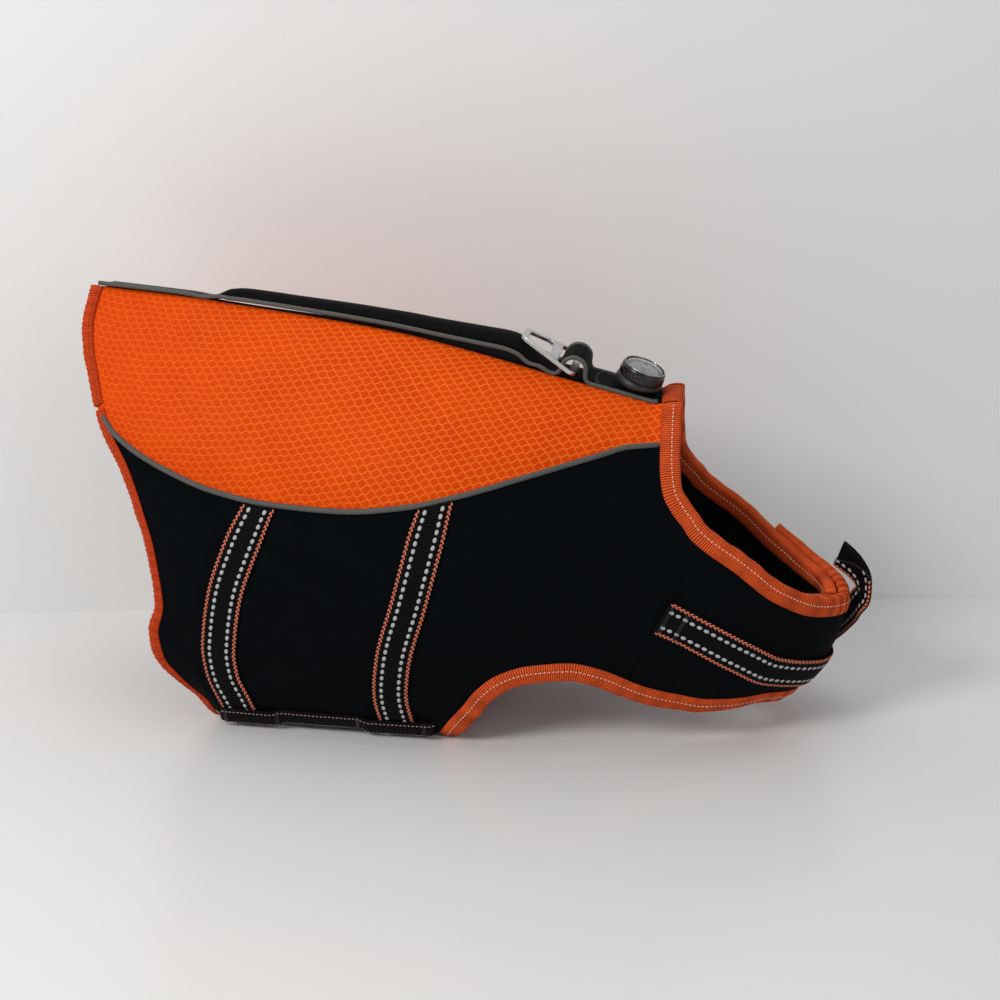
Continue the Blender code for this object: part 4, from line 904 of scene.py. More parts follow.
SIDE_CUT, FLAP_CUT, BELLY_CUT = (0.330, 0.165), (0.250, 0.088), (0.176, 0.108)
for label, side in SIDES.items():
    grid = side_grid(side)
    along, turn = grid[..., 0], grid[..., 1]
    z = form(side, along, turn)[..., 2]
    calm = edge_calm(along.shape, 12, 12) * strap_room(along, z) * ease((turn + 0.92) / 0.12)
    soft = 0.5 * uneven(along - 0.5 * z, 21 + side, 55) * uneven(z + 0.4 * along, 31 + side, 48)
    out = calm * (strap_bulge(along, z) + soft - creased(SIDE_CREASES[label], along, z))
    neoprene("neoprene_side_" + label, "side_panel_" + label,
             skin(side, along, turn, out), skin(side, along, turn, out - CLOTH), SIDE_CUT)
    grids["side", label] = grid

    grid = flap_grid(side)
    along, turn = grid[..., 0], grid[..., 1]
    z = form(side, along, turn)[..., 2]
    moved = lap(side, along)
    calm = edge_calm(along.shape, 14, 10)
    lift = 0.3 * uneven(along + z, 41 + side, 40) - creased(FLAP_CREASES, along, z)
    out = moved + calm * np.minimum(lift, 0.4)
    neoprene("neoprene_flap_" + label, "chest_flap_" + label,
             skin(side, along, turn, out), skin(side, along, turn, out - CLOTH), FLAP_CUT)
    grids["flap", label] = grid

# %% Belly panel
belly_along = even(-185.5, -10, 90)
belly_outer, belly_inner = [], []
for side in (NEAR, FAR):
    edge = -1 - SEAM_GAP / 54
    turns = even(edge, -2, 24) if side == NEAR else even(-2, edge, 24)[1:]
    belly_outer.append(skin(side, belly_along[:, None], turns[None], 0))
    belly_inner.append(skin(side, belly_along[:, None], turns[None], -CLOTH))
neoprene("neoprene_belly", "belly_panel",
         np.concatenate(belly_outer, 1), np.concatenate(belly_inner, 1), BELLY_CUT)


# %% [markdown]
# ## Edge tape
#
# Every raw edge is bound with ribbed tape, folded over it like a U. The profile below is that U: two flat
# stretches that hug the panel at their stitched edges, and a round fold. It is carried along the panel's edge.
# The ribs, 1.6 mm apart, are waves in the mesh, and elastic tape at the rear is gathered, so it puckers as well.

# %% Tape
TAPE_SIDES = 15


def tape_lines(depth):
    """Outer and inner polyline of the folded tape: distance in from the panel's edge, and out from its face."""
    middle = (TAPE_GAP - CLOTH - TAPE_GAP_IN) / 2
    half = (TAPE_GAP + CLOTH + TAPE_GAP_IN) / 2
    fold = np.linspace(pi / 2, -pi / 2, 7)
    flat = np.linspace(depth, 0.8, 4)
    hug = 0.7 * ease((flat - depth + 2.5) / 2.5)
    lines = []
    for reach, level, thin in ((TAPE_GAP + TAPE, half + TAPE, 0.35), (TAPE_GAP, half, 0.0)):
        edge = hug + thin * (flat == depth)
        bend = np.stack([0.4 - (reach + 0.4) * np.clip(np.cos(fold), 0, 1) ** 0.8,
                         middle + level * np.sign(np.sin(fold)) * np.abs(np.sin(fold)) ** 0.7], -1)
        upper = np.stack([flat, middle + level - edge], -1)
        lower = np.stack([flat, middle - level + edge], -1)[::-1]
        lines.append(np.concatenate([upper, bend, lower]))
    return lines


def line_ways(side, line):
    """Distance in space along a line on the form."""
    return ways(form(side, line[:, 0], line[:, 1])[:, None])[:, 0]


def tape(name, side, line, left, node, finish, depth=TAPE_DEPTH, lapped=False, pucker=0.0, seed=1):
    """Folded tape along a panel's edge; `left` is 1 where the panel lies to the left of the line, else -1.

    Rails: each point of the profile is set off from the edge line across the form and out along its normal.
    """
    length = line_ways(side, line)[-1]
    line = resample(line, max(8, int(length / 3.5)), side)
    step = np.gradient(line, axis=0)
    for _ in range(2):
        step[1:-1] = (step[:-2] + 2 * step[1:-1] + step[2:]) / 4
    rails = []
    for profile in tape_lines(depth):
        for inward, out in profile:
            along, turn = beside(side, line[:, 0], line[:, 1], step, -left * side * inward)
            rails.append(skin(side, along, turn, out + (lap(side, along) if lapped else 0)))
    rails = refine(np.stack(rails, 1), TAPE_RIB / 3, keep=line_ways(side, line))
    outer, inner = rails[:, :TAPE_SIDES], rails[:, TAPE_SIDES:]
    way = ways(outer)[:, TAPE_SIDES // 2][:, None]
    across = np.linspace(-1, 1, TAPE_SIDES)[None]
    ribs = 0.2 * np.cos(tau * np.arange(len(outer)) / 3)[:, None]
    slow = 0.22 * uneven(way + 3 * across, seed, 17)
    gathers = pucker * np.sin(tau * (way + 1.4 * uneven(way, seed + 1, 23)) / 4.2) * (1 - 0.5 * np.abs(across))
    move = ribs + slow * (1 - across ** 2) + gathers
    outer = raised(outer, inner, move)
    piece = shell(name, outer, inner, finish)
    fitted(piece, "coral_tape", [node])
    return outer, inner

# %% Tapes of each side
PALE_STITCH, RED_STITCH = (2.2, 0.85, 0.38), (1.7, 0.6, 0.35)    # length, width and height
tape_rows_pale, tape_rows_red = [], []


def pale_seam(rails, *places):
    """Pale running stitches along lanes of a tape, a place being its share of the way across."""
    for place in places:
        tape_rows_pale.append((lane(*rails, place, 3.3, 3), *PALE_STITCH))


for label, side in SIDES.items():
    foam, lower, flap = (grids[kind, label] for kind in ("foam", "side", "flap"))
    for which, node, edge, pucker, seed in (
            ("rear_tape_upper_", "rear_binding_foam_", trimmed(foam[0], side, 2, 1), 0.22, 51),
            ("rear_tape_lower_", "rear_binding_side_", trimmed(lower[0], side, 2, 3), 0.24, 61)):
        rails = tape(which + label, side, edge, -1, node + label, rust_elastic, REAR_TAPE_DEPTH,
                     pucker=pucker, seed=seed)
        tape_rows_red.append((lane(*rails, 0.10, 2.7, 2), *RED_STITCH))
    edge = np.concatenate([foam[-1, :0:-1], lower[-1, :len(SEAM_Z) - 1:-1], flap[:, -1]])
    pale_seam(tape("neck_tape_" + label, side, edge, -1, "neck_binding_" + label, coral_tape,
                   lapped=True, seed=71), 0.15, 0.85)
    edge = np.concatenate([lower[BELLY_COLUMNS - 1:-1, 0], flap[:, 0]])
    pale_seam(tape("leg_tape_" + label, side, edge, 1, "leg_binding_" + label, coral_tape,
                   lapped=True, pucker=0.10, seed=81), 0.10, 0.90)
    edge = trimmed(flap[-1], side, TAPE_DEPTH + 3, 2 * TAPE_DEPTH + 2)
    pale_seam(tape("flap_end_tape_" + label, side, edge, 1, "flap_end_binding_" + label, coral_tape,
                   lapped=True, seed=91), 0.12)
sewn("tape_stitches_pale", tape_rows_pale, pale_thread, "coral_tape")
sewn("tape_stitches_red", tape_rows_red, red_thread, "coral_tape")


# %% Tapes across the belly and over the spine
def flat_tape(name, rails, node):
    """Refines the rails of a short folded tape, ribs them and makes the piece."""
    rails = refine(rails, TAPE_RIB / 3)
    count = rails.shape[1] // 2
    outer, inner = rails[:, :count], rails[:, count:]
    outer = raised(outer, inner, 0.08 * np.cos(tau * np.arange(len(outer)) / 3)[:, None])
    fitted(shell(name, outer, inner, coral_tape), "coral_tape", [node])


def belly_lines():
    """Outer and inner polyline of the thin tapes under the belly."""
    out, back = GIRTH_GAP + WEBBING - 0.3, -CLOTH - GIRTH_GAP
    outer = ((TAPE_DEPTH, out - 0.4), (8, out), (1, out), (-GIRTH_GAP - 0.6, out - 0.5),
             (-GIRTH_GAP - TAPE, -0.5 * CLOTH), (-GIRTH_GAP - 0.6, back - TAPE + 0.4), (1, back - TAPE),
             (8, back - TAPE), (TAPE_DEPTH, back - TAPE + 0.4))
    inner = ((TAPE_DEPTH, 0.2), (8, GIRTH_GAP), (1, GIRTH_GAP), (-0.4, 0.3), (-GIRTH_GAP, -0.5 * CLOTH),
             (-0.4, back + 0.5), (1, back), (8, back), (TAPE_DEPTH, back + 0.3))
    return outer + inner


for name, node, at, facing in (("belly_tape_rear", "belly_binding_rear", -185.5, 1),
                               ("belly_tape_front", "belly_binding_front", -10.0, -1)):
    rails = []
    for side, turns in ((NEAR, even(-1.02, -2, 9)), (FAR, even(-2, -1.02, 9)[1:])):
        rails.append(np.stack([skin(side, at + facing * inward, turns, out)
                               for inward, out in belly_lines()], 1))
    flat_tape(name, np.concatenate(rails), node)

SPINE_ENDS = (-268.0, 137.5)
SPINE_BASE_HALF, SPINE_BASE = 11.9, 2.0
TOP_PIPING_R = 1.7


def spine(along, across, up):
    """Point over the spine: across it, towards the far side, and up from the level of the foam panels."""
    along, across, up = np.broadcast_arrays(*(np.asarray(v, float) for v in (along, across, up)))

    def middle(a):
        """The ridge line, lifted by the collar's flare."""
        flare = COLLAR_FLARE * ease((a - FLARE_START) / FLARE_LENGTH) * sin(RIDGE_TURN)
        return np.stack([a, 0 * a, form_value("ridge", a) + flare], -1)

    ahead = unit(middle(along + 0.5) - middle(along - 0.5))
    lean = np.radians(form_value("lean", along))[..., None]
    aside = np.broadcast_to([0.0, 1.0, 0.0], ahead.shape)
    above = np.stack([-ahead[..., 2], ahead[..., 1], ahead[..., 0]], -1)
    return (middle(along) + across[..., None] * (aside * np.cos(lean) + above * np.sin(lean))
            + up[..., None] * (above * np.cos(lean) - aside * np.sin(lean)))

collar_end = SPINE_ENDS[1]
across_collar = even(-14.0, 14.0, 9)
level, under = TAPE_GAP + TAPE, -SPINE_BASE - TAPE_GAP
collar_outer = ((-TAPE_DEPTH, level - 0.8), (-9, level), (-2, level + 0.1), (TAPE_GAP + 0.4, level - 0.5),
                (level, -1), (TAPE_GAP + 0.4, under - TAPE + 0.6), (-2, under - TAPE), (-9, under - TAPE),
                (-TAPE_DEPTH, under - TAPE + 0.5))
collar_inner = ((-TAPE_DEPTH, 0.2), (-9, TAPE_GAP), (-2, TAPE_GAP), (0.3, TAPE_GAP - 0.3), (TAPE_GAP, -1),
                (0.3, under + 0.4), (-2, under), (-9, under), (-TAPE_DEPTH, under + 0.3))
tuck = 0.9 * ease((np.abs(across_collar) - 11) / 3)
rails = np.stack([spine(collar_end + ahead, across_collar, up - tuck * np.sign(up))
                  for ahead, up in collar_outer + collar_inner], 1)
flat_tape("neck_tape_top", rails, "neck_binding_top")

# %% [markdown]
# ## Webbing straps
#
# Polyester webbing is a flat woven band, 25 mm wide, with rounded selvedges. A strap is a ribbon carried along a
# line of the form, a little above the panel. Its ribs are in the mesh. Two chain-stitched coral lines run near
# its edges, and two columns of grey reflective dashes between them, all laid along lanes of the same grid.

# %% Straps
LANES = 9
CHAIN_LANES, DASH_LANES = (0.055, 0.945), (0.26, 0.74)
CHAIN_PITCH, DASH_PITCH = 3.3, 5.45
CHAIN_HALF = 0.022
chain_rows, dash_rows, bar_rows, keeper_rows = [], [], [], []
GIRTH_TUCK = 1.8


def strap_rails(side, line, half, low, thick, head=None):
    """Outer and inner rails of a flat strap along a line of the form; low(along) is its height off the form.

    With head(along), the strap's first 25 mm are sheared so that each lane starts at that z.
    """
    step = np.gradient(line, axis=0)
    outer, inner = [], []
    for place in even(-1, 1, LANES):
        along, turn = beside(side, line[:, 0], line[:, 1], step, place * half)
        if head:
            z = form(side, along, turn)[:, 2]
            near = z > z[0] - 25
            z = z + (head(along[0]) - z[0]) * ease((z - z[0] + 25) / 25)
            turn[near] = turn_at(side, along[near], z[near])
        base = low(along) + np.zeros(len(line))
        outer.append(skin(side, along, turn, base + thick * (1 - 0.4 * abs(place) ** 12)))
        inner.append(skin(side, along, turn, base + thick * 0.15 * abs(place) ** 12))
    return np.stack(outer, 1), np.stack(inner, 1)


def webbing(name, outer, inner, node, rib=0.07, slot="black_webbing"):
    """Ribbed webbing from coarse outer and inner rails."""
    keep = ways(outer)[:, LANES // 2]
    rails = refine(np.concatenate([outer, inner], 1), WEB_RIB / 3, keep=keep)
    outer, inner = rails[:, :LANES], rails[:, LANES:]
    way = np.arange(len(outer))[:, None]
    outer = raised(outer, inner, rib * np.cos(tau * way / 3) + 0.05 * uneven(way * WEB_RIB / 3, len(outer), 30))
    fitted(shell(name, outer, inner, black_webbing), slot, [node])
    return outer, inner


def trims(outer, inner, first=3.0, last=None, dashes=True):
    """Chain-stitched lines near both edges of a strap, and its columns of reflective dashes."""
    for place in CHAIN_LANES:
        for twist in (-1, 1):
            strand = lane(outer, inner, place + twist * CHAIN_HALF, CHAIN_PITCH, first + 0.8 * twist, last)
            chain_rows.append((strand, 2.9, 1.15, 0.42, 0.42 * twist))
    for place in DASH_LANES if dashes else ():
        dash_rows.append((lane(outer, inner, place, DASH_PITCH, first + 1, last), 4.1, 2.7, 0.34, 0.12))


def bar_tack(outer, inner, at, places=(0.08, 0.92), count=16):
    """Dense zigzag of thread across a strap, which holds it to what lies below."""
    for shift, turned in ((-0.6, 0.5), (0.6, -0.5)):
        spots = [lane(outer, inner, p, 1e6, at + shift, at + shift + 1) for p in even(*places, count)]
        frames = tuple(np.concatenate([s[k] for s in spots]) for k in range(4))
        bar_rows.append((frames, 2.4, 0.7, 0.4, turned))


def under_piping(a):
    """Height of the girth straps' tops: the piping's line, less the tuck."""
    return smooth_through(PIPING_ROWS, 0, 1, a) - GIRTH_TUCK


for which, rows in GIRTH_ROWS.items():
    halves = []
    for side in (NEAR, FAR):
        top_z = under_piping(rows[-1][1])
        flank = up_edge_at(side, rows, even(top_z, 50, 26))
        turns = np.concatenate([even(flank[-1, 1], -1.0, 22)[1:], even(-1.04, -2, 12)])
        along = smooth_through(rows, 0, 1, np.maximum(form(side, rows[1][1], turns)[:, 2], 2))
        line = np.concatenate([flank, np.stack([along, turns], -1)])
        rails = strap_rails(side, line, side * WEBBING_HALF, lambda a: GIRTH_GAP, WEBBING, under_piping)
        halves.append(rails if side == NEAR else tuple(r[-2::-1] for r in rails))
    outer, inner = (np.concatenate([halves[0][k], halves[1][k]]) for k in (0, 1))
    outer, inner = webbing("girth_webbing_" + which, outer, inner, "girth_strap_" + which)
    trims(outer, inner)

def strap_clearance(along, centres):
    """1 where a keeper has to arch over a girth strap, 0 where it lies on the panel."""
    nearest = np.min([np.abs(along - c) for c in centres], axis=0)
    return ease((30 - nearest) / 9)

keeper_centres = [smooth_through(GIRTH_ROWS[name], 0, 1, 12) for name in GIRTH_ROWS]


def keeper_low(a):
    """Stand-off of the keeper: its gap, and over a girth strap that strap's thickness as well."""
    return GIRTH_GAP + (WEBBING + 1.4 * GIRTH_GAP) * strap_clearance(a, keeper_centres)


for label, side in SIDES.items():
    line = np.stack([even(*KEEPER_ENDS, 70), np.full(70, KEEPER_TURN)], -1)
    outer, inner = strap_rails(side, line, KEEPER_HALF, keeper_low, 1.2)
    outer, inner = webbing("keeper_webbing_" + label, outer, inner, "keeper_strap_" + label)
    for place in (0.14, 0.86):
        keeper_rows.append((lane(outer, inner, place, 2.9, 2), 2.0, 0.75, 0.32))
    for centre in keeper_centres:
        for off in (-27, 27):
            bar_tack(outer, inner, np.clip(centre + off - KEEPER_ENDS[0], 4, 149), count=12)

# %% [markdown]
# ### Chest straps, tail and buckle
#
# One strap comes round from each side of the chest, and the two meet in a side-release buckle, which sits a
# little past the middle of the front. The spare webbing springs away from the buckle, bends back on itself and
# ends in a folded hem.

# %% Chest straps
BUCKLE_START, BUCKLE_SPLIT, BUCKLE_END = 330.0, 347.0, 385.0
BUCKLE_HALF, BUCKLE_THICK = 15.5, 7.0
BUCKLE_LEVEL, BUCKLE_RISE = 56.0, 0.2    # z at its start, and how fast its line rises along
BUCKLE_STAND = 2.8       # the flat buckle stands off the round chest along its middle by this little
BUCKLE_ENTRY = 5.2       # how far the straps rise to the middle of its end faces
TAIL_ROWS = (            # the place of the tail's middle line, and the way across it
    (235.6, 51.7, 48.7, 0.40, 0.42, 0.81), (244.9, 43.5, 53.0, 0.30, 0.50, 0.80),
    (252.5, 32.5, 60.5, 0.15, 0.67, 0.73), (257.5, 22, 70.5, 0.00, 0.75, 0.60),
    (262, 11.5, 81.5, -0.12, 0.85, 0.40), (265.5, 2, 92.5, -0.25, 0.93, 0.15),
    (269, -3, 102, -0.35, 0.93, -0.10), (268, -1, 111, -0.42, 0.80, -0.40),
    (262.5, 5, 118, -0.40, 0.60, -0.65), (252.5, 13.5, 124, -0.40, 0.51, -0.76),
)
TAIL_HEM = 12.0          # length of the doubled end


def buckle_level(along):
    """Height of the buckle's middle line."""
    return BUCKLE_LEVEL + BUCKLE_RISE * (along - BUCKLE_START)


def chest_line(side, end, count):
    """Line of a chest strap, which levels out as it comes to the buckle."""
    along = even(132, end, 90)
    z = smooth_through(CHEST_STRAP_ROWS, 0, 1, along)
    buckle_along = along if side == NEAR else 2 * FRONT - along
    z = z + (buckle_level(buckle_along) - z) * ease((along - end + 34) / 28)
    return resample(np.stack([along, turn_at(side, along, z)], -1), count, side)


near_end, far_end = BUCKLE_START - 0.8, 2 * FRONT - BUCKLE_END - 0.8


def near_low(a):
    """Stand-off of the near chest strap: a gap over the flaps, then a rise to the buckle."""
    return STRAP_GAP + lap(NEAR, a) + BUCKLE_ENTRY * ease((a - near_end + 22) / 20)


def far_low(a):
    """Stand-off of the far chest strap: a step over the flap's tape, then a rise to the buckle."""
    over_flap = (FLAP_LAP + TAPE + TAPE_GAP) * ease((a - 146) / 34)
    return STRAP_GAP + over_flap + (BUCKLE_ENTRY - TAPE) * ease((a - far_end + 22) / 20)


for label, side, end, count, height in (
        ("near", NEAR, near_end, 60, near_low), ("far", FAR, far_end, 24, far_low)):
    rails = strap_rails(side, chest_line(side, end, count), WEBBING_HALF, height, WEBBING)
    rails = webbing("chest_webbing_" + label, *rails, "chest_strap_" + label)
    trims(*rails)
    for at in (3, 15):
        bar_tack(*rails, at)

# %% Tail of the strap
TAIL_NARROW = 0.94       # the free end is pulled a little narrower
t = even(0, len(TAIL_ROWS) - 1, 60)
tail_rows = [(i, *row) for i, row in enumerate(TAIL_ROWS)]
centre = np.stack([smooth_through(tail_rows, 0, 1 + k, t) for k in range(3)], -1)
across = unit(np.stack([smooth_through(tail_rows, 0, 4 + k, t) for k in range(3)], -1))
ahead = unit(np.gradient(centre, axis=0))
across = unit(across - ahead * np.sum(across * ahead, -1, keepdims=True))
facing = np.cross(ahead, across)
way = ways(centre[:, None])[:, 0]
thick = WEBBING * (1 + 0.8 * ease((way - way[-1] + TAIL_HEM) / 3))[:, None] / 2
half_across = across * WEBBING_HALF * TAIL_NARROW
outer, inner = (np.stack([centre + half_across * p + sign * facing * thick * (1 - 0.35 * abs(p) ** 12)
                          for p in even(-1, 1, LANES)], 1) for sign in (1, -1))
outer, inner = webbing("tail_webbing", outer, inner, "strap_tail", rib=0.05)
hem = way[-1] - TAIL_HEM
trims(outer, inner, last=hem)
trims(inner, outer, last=hem)
bar_tack(outer, inner, hem + 1.5)
bar_tack(inner, outer, hem + 1.5)

# %% Buckle
def buckle_half(name, first, last, half_first, half_last, ridges):
    """Half of the buckle: a rounded slab across the strap's line, waisted and ridged where fingers press it.

    Each ring is a squared-off oval: width and thickness follow the fourth root of cosine and sine.
    """
    along = even(first, last, 60)
    t = even(0, 1, 60)
    line = np.stack([along, turn_at(NEAR, along, buckle_level(along))], -1)
    step = np.gradient(line, axis=0)
    ends = np.minimum(1, np.minimum(t, 1 - t) * 60 / 5)
    half = (half_first + (half_last - half_first) * t) * (0.93 + 0.07 * np.sqrt(ends))
    half = half - 1.1 * ridges * np.sin(pi * t) ** 6
    swell = 0.8 + 0.2 * np.sqrt(ends)
    grip = 0.28 * ridges * np.cos(tau * (along - first) / 2.4) * ease((t - 0.28) / 0.1) * ease((0.72 - t) / 0.1)
    ring = []
    for angle in even(0, tau, 33)[:-1]:
        wide = np.sign(cos(angle)) * abs(cos(angle)) ** 0.35
        high = np.sign(sin(angle)) * abs(sin(angle)) ** 0.5
        a, b = beside(NEAR, line[:, 0], line[:, 1], step, wide * half)
        up = BUCKLE_THICK / 2 * (1 + high * swell * 0.98) + grip * (abs(cos(angle)) > 0.85)
        ring.append(skin(NEAR, a, b, FLAP_LAP + SEAM_GAP + BUCKLE_STAND + up))
    return tube(name, np.stack(ring, 1), moulded_black)


fitted(buckle_half("buckle_prong_half", BUCKLE_START, BUCKLE_SPLIT, BUCKLE_HALF - 1, BUCKLE_HALF - 1, 0),
       "buckle_plastic", ["buckle_prongs"])
fitted(buckle_half("buckle_socket_half", BUCKLE_SPLIT + 0.6, BUCKLE_END, BUCKLE_HALF, BUCKLE_HALF - 1, 1),
       "buckle_plastic", ["buckle_socket"])

# %% [markdown]
# ## Along the spine
#
# One length of webbing runs along the back. It is sewn down at the rear, stands up as the grab handle, comes
# down, goes over the ring's bar and ends under the lamp. Its middle line is a table, and a half circle round the
# bar. Grey reflective piping follows both of its edges.

# %% Spine
HANDLE_ROWS = (
    (-267, 1.4, 1.6), (-192, 1.4, 1.6), (-184, 3.4, 2.4), (-176, 7.6, 4), (-164, 9.4, 4.4), (-115, 9.8, 4.5),
    (-41, 10.8, 4.5), (0, 13.2, 4.5), (18, 14.4, 4.5), (25, 13.6, 4), (34, 9.0, 3), (43, 3.6, 2), (48, 1.5, 1.6),
)
LOOP_CENTRE = (64.0, 8.6)      # along, up
LOOP_R = 8.0
TOP_END = 123.0


def across_line(along, up):
    """Unit direction, along and up, at right angles to the top webbing's line."""
    d_along, d_up = np.gradient(along), np.gradient(up)
    run = np.hypot(d_along, d_up)
    return -d_up / run, d_along / run


HANDLE_PAD, HANDLE_DROOP, HANDLE_CORD_DROP = 1.6, 4.2, 5.4   # thickness, and how low edges and cords hang
TOP_CORD_R, TOP_CORD_REST, REAR_LIFT = 1.5, 1.1, 0.8


def top_line():
    """Along, up and thickness of the top webbing's middle line, handle and ring loop included."""
    along = even(-267, 48, 130)
    up, thick = (smooth_through(HANDLE_ROWS, 0, k, along) for k in (1, 2))
    centre_along, centre_up = LOOP_CENTRE
    round_loop = even(pi, 0, 19)
    loop = np.stack([centre_along + LOOP_R * np.cos(round_loop), centre_up + LOOP_R * np.sin(round_loop)])
    foot = np.array([[50.4, 52.5, 54.3, 55.4], [1.4, 1.7, 3.0, 5.2]])
    down = np.array([2 * centre_along - np.array([55.4, 54.3, 52.4]), [5.2, 3.0, 1.5]])
    front = np.stack([even(78, TOP_END, 24), np.full(24, 1.3)])
    rest = np.concatenate([foot, loop, down, front], 1)
    line = np.concatenate([np.stack([along, up]), rest], 1)
    return line[0], line[1], np.concatenate([thick, np.full(rest.shape[1], WEBBING)])


base_along = even(*SPINE_ENDS, 90)
across_base = even(-SPINE_BASE_HALF, SPINE_BASE_HALF, LANES)
rails = (np.stack([spine(base_along, y, up) for y in across_base], 1) for up in (-0.2, -0.2 - SPINE_BASE))
webbing("spine_webbing", *rails, "spine_base")

along, up, thick = top_line()
handle = ease((up - 4) / 5) * (along < 50)
droop = ease((up - 2) / 9) * (along < 50)
thick = thick + HANDLE_PAD * handle
up = up - HANDLE_PAD / 2 * handle + REAR_LIFT * ease((-190 - along) / 20)
n_along, n_up = across_line(along, up)
places = even(-1, 1, LANES)
level = np.stack([0.5 * (1 - 0.3 * abs(p) ** 12) + 0 * thick for p in places], 1)
outer, inner = (np.stack([
    spine(along + s * level[:, k] * thick * n_along, p * WEBBING_HALF,
          up - HANDLE_DROOP * droop * abs(p) ** 2.4 + s * level[:, k] * thick * n_up)
    for k, p in enumerate(places)], 1) for s in (1, -1))
outer, inner = webbing("top_webbing_ribbed", outer, inner, "top_webbing", rib=0.11)
top_length = ways(outer)[-1, LANES // 2]
for at in (4, 60, 66, top_length - 45):
    bar_tack(outer, inner, at)

low = np.maximum(up - HANDLE_CORD_DROP * droop, TOP_CORD_REST)
for label, side in SIDES.items():
    middle = side * (WEBBING_HALF + SEAM_GAP + TOP_PIPING_R)
    ring = []
    for angle in even(0, tau, 13)[:-1]:
        level, aside = TOP_CORD_R * sin(angle), TOP_CORD_R * cos(angle)
        ring.append(spine(along + level * n_along, middle + aside, low + level * n_up))
    piece = tube("top_cord_" + label, refine(np.stack(ring, 1), 1.6), grey_piping)
    fitted(piece, "grey_piping", ["top_piping_" + label])

    line = along_edge(side, PIPING_ROWS, -251, 136, 120)
    step = np.gradient(line, axis=0)
    under_tape = 2.3 * ease((line[:, 0] - 121) / 5)
    ring = []
    for angle in even(0, tau, 13)[:-1]:
        a, b = beside(side, line[:, 0], line[:, 1], step, PIPING_R * cos(angle))
        ring.append(skin(side, a, b, 0.6 - under_tape + PIPING_R * sin(angle)))
    piece = tube("side_cord_" + label, refine(np.stack(ring, 1), 1.6), grey_piping)
    fitted(piece, "grey_piping", ["side_piping_" + label])

# %% Thread on the straps
sewn("strap_chain_stitches", chain_rows, coral_thread, "black_webbing")
sewn("strap_reflective_dashes", dash_rows, grey_thread, "black_webbing")
sewn("keeper_stitches", keeper_rows, rose_thread, "black_webbing")
sewn("strap_bar_tacks", bar_rows, black_thread, "black_webbing")

# %% [markdown]
# ## Leash ring
#
# The ring is a flat satin-finished casting: a bar that the webbing holds, a slot for the loop, a broad crossbar
# and an open bow. Its outline and its two holes are filled as one face, the face is raised to the ring's
# thickness, and a Bevel modifier rounds the edges, as tumbling does to the real one.

# %% Ring
RING_AXIS_UP = 6.5
RING_REST = radians(17)        # above the line of the spine, lying back on the handle
RING_BAR, RING_SLOT, RING_CROSSBAR, RING_HOLE, RING_REACH = 2.5, 12.7, 19.2, 37.5, 42.0
RING_HALF, RING_TIP_HALF, RING_SIDE = 22.1, 9.5, 4.2
RING_THICK = 3.2


def hinge_frame():
    """Ring's axis point and its three directions at rest: out towards the tip, along the bar, upwards."""
    at = LOOP_CENTRE[0]
    point = spine(at, 0, RING_AXIS_UP)
    bar = unit(spine(at, 1, RING_AXIS_UP) - point)
    above = unit(spine(at, 0, RING_AXIS_UP + 1) - point)
    back = np.cross(above, bar)
    out = back * cos(RING_REST) + above * sin(RING_REST)
    return point, out, bar, np.cross(bar, out)


def rounded(corners, radius, steps=3):
    """Outline with its corners rounded off by arcs."""
    points = []
    count = len(corners)
    for i, corner in enumerate(corners):
        corner = np.array(corner, float)
        back = unit(np.array(corners[i - 1], float) - corner)
        ahead = unit(np.array(corners[(i + 1) % count], float) - corner)
        half = np.arccos(np.clip(back @ ahead, -1, 1)) / 2
        centre = corner + unit(back + ahead) * radius / sin(half)
        start = corner + back * radius / np.tan(half) - centre
        stop = corner + ahead * radius / np.tan(half) - centre
        for t in even(0, 1, steps):
            points.append(centre + radius * unit(start * (1 - t) + stop * t))
    return np.array(points)


def half_at(r):
    """Half the ring's width: even by the bar, then a power curve to the tip."""
    return RING_HALF + (RING_TIP_HALF - RING_HALF) * max(0, (r - 8) / (RING_REACH - 8)) ** 1.15


def outline(first, last, inset, radius):
    """A four-sided loop between two reaches, inset from the ring's sides, with rounded corners."""
    far, near = half_at(last) - inset, half_at(first) - inset
    return rounded([(first, -near), (last, -far), (last, far), (first, near)], radius, 9)


work = bmesh.new()
edges = []
for loop in (outline(-RING_BAR, RING_REACH, 0, 5.5), outline(RING_BAR, RING_SLOT, RING_SIDE, 1.5),
             outline(RING_CROSSBAR, RING_HOLE, RING_SIDE, 4.0)):
    corners = [work.verts.new((*p, 0)) for p in loop]
    edges += [work.edges.new((corners[i - 1], corners[i])) for i in range(len(corners))]
bmesh.ops.triangle_fill(work, use_beauty=True, edges=edges)
flat = list(work.faces)
bmesh.ops.recalc_face_normals(work, faces=flat)
raised_ring = bmesh.ops.extrude_face_region(work, geom=flat)
for item in raised_ring["geom"]:
    if isinstance(item, bmesh.types.BMVert):
        item.co.z += RING_THICK
work.verts.ensure_lookup_table()
local = np.array([v.co[:] for v in work.verts])
faces, walls = (np.array(sorted([v.index for v in f.verts] for f in work.faces if len(f.verts) == count))
                for count in (3, 4))
work.free()
point, ring_out, ring_bar, ring_up = hinge_frame()
points = point + local[:, :1] * ring_out + local[:, 1:2] * ring_bar + (local[:, 2:] - RING_THICK / 2) * ring_up
leash_ring = new_piece("satin_leash_ring", points, [faces, walls], satin_metal)
work = bmesh.new()
work.from_mesh(leash_ring.data)
bmesh.ops.recalc_face_normals(work, faces=work.faces)
work.to_mesh(leash_ring.data)
work.free()
edge_round = leash_ring.modifiers.new("tumbled edges", "BEVEL")
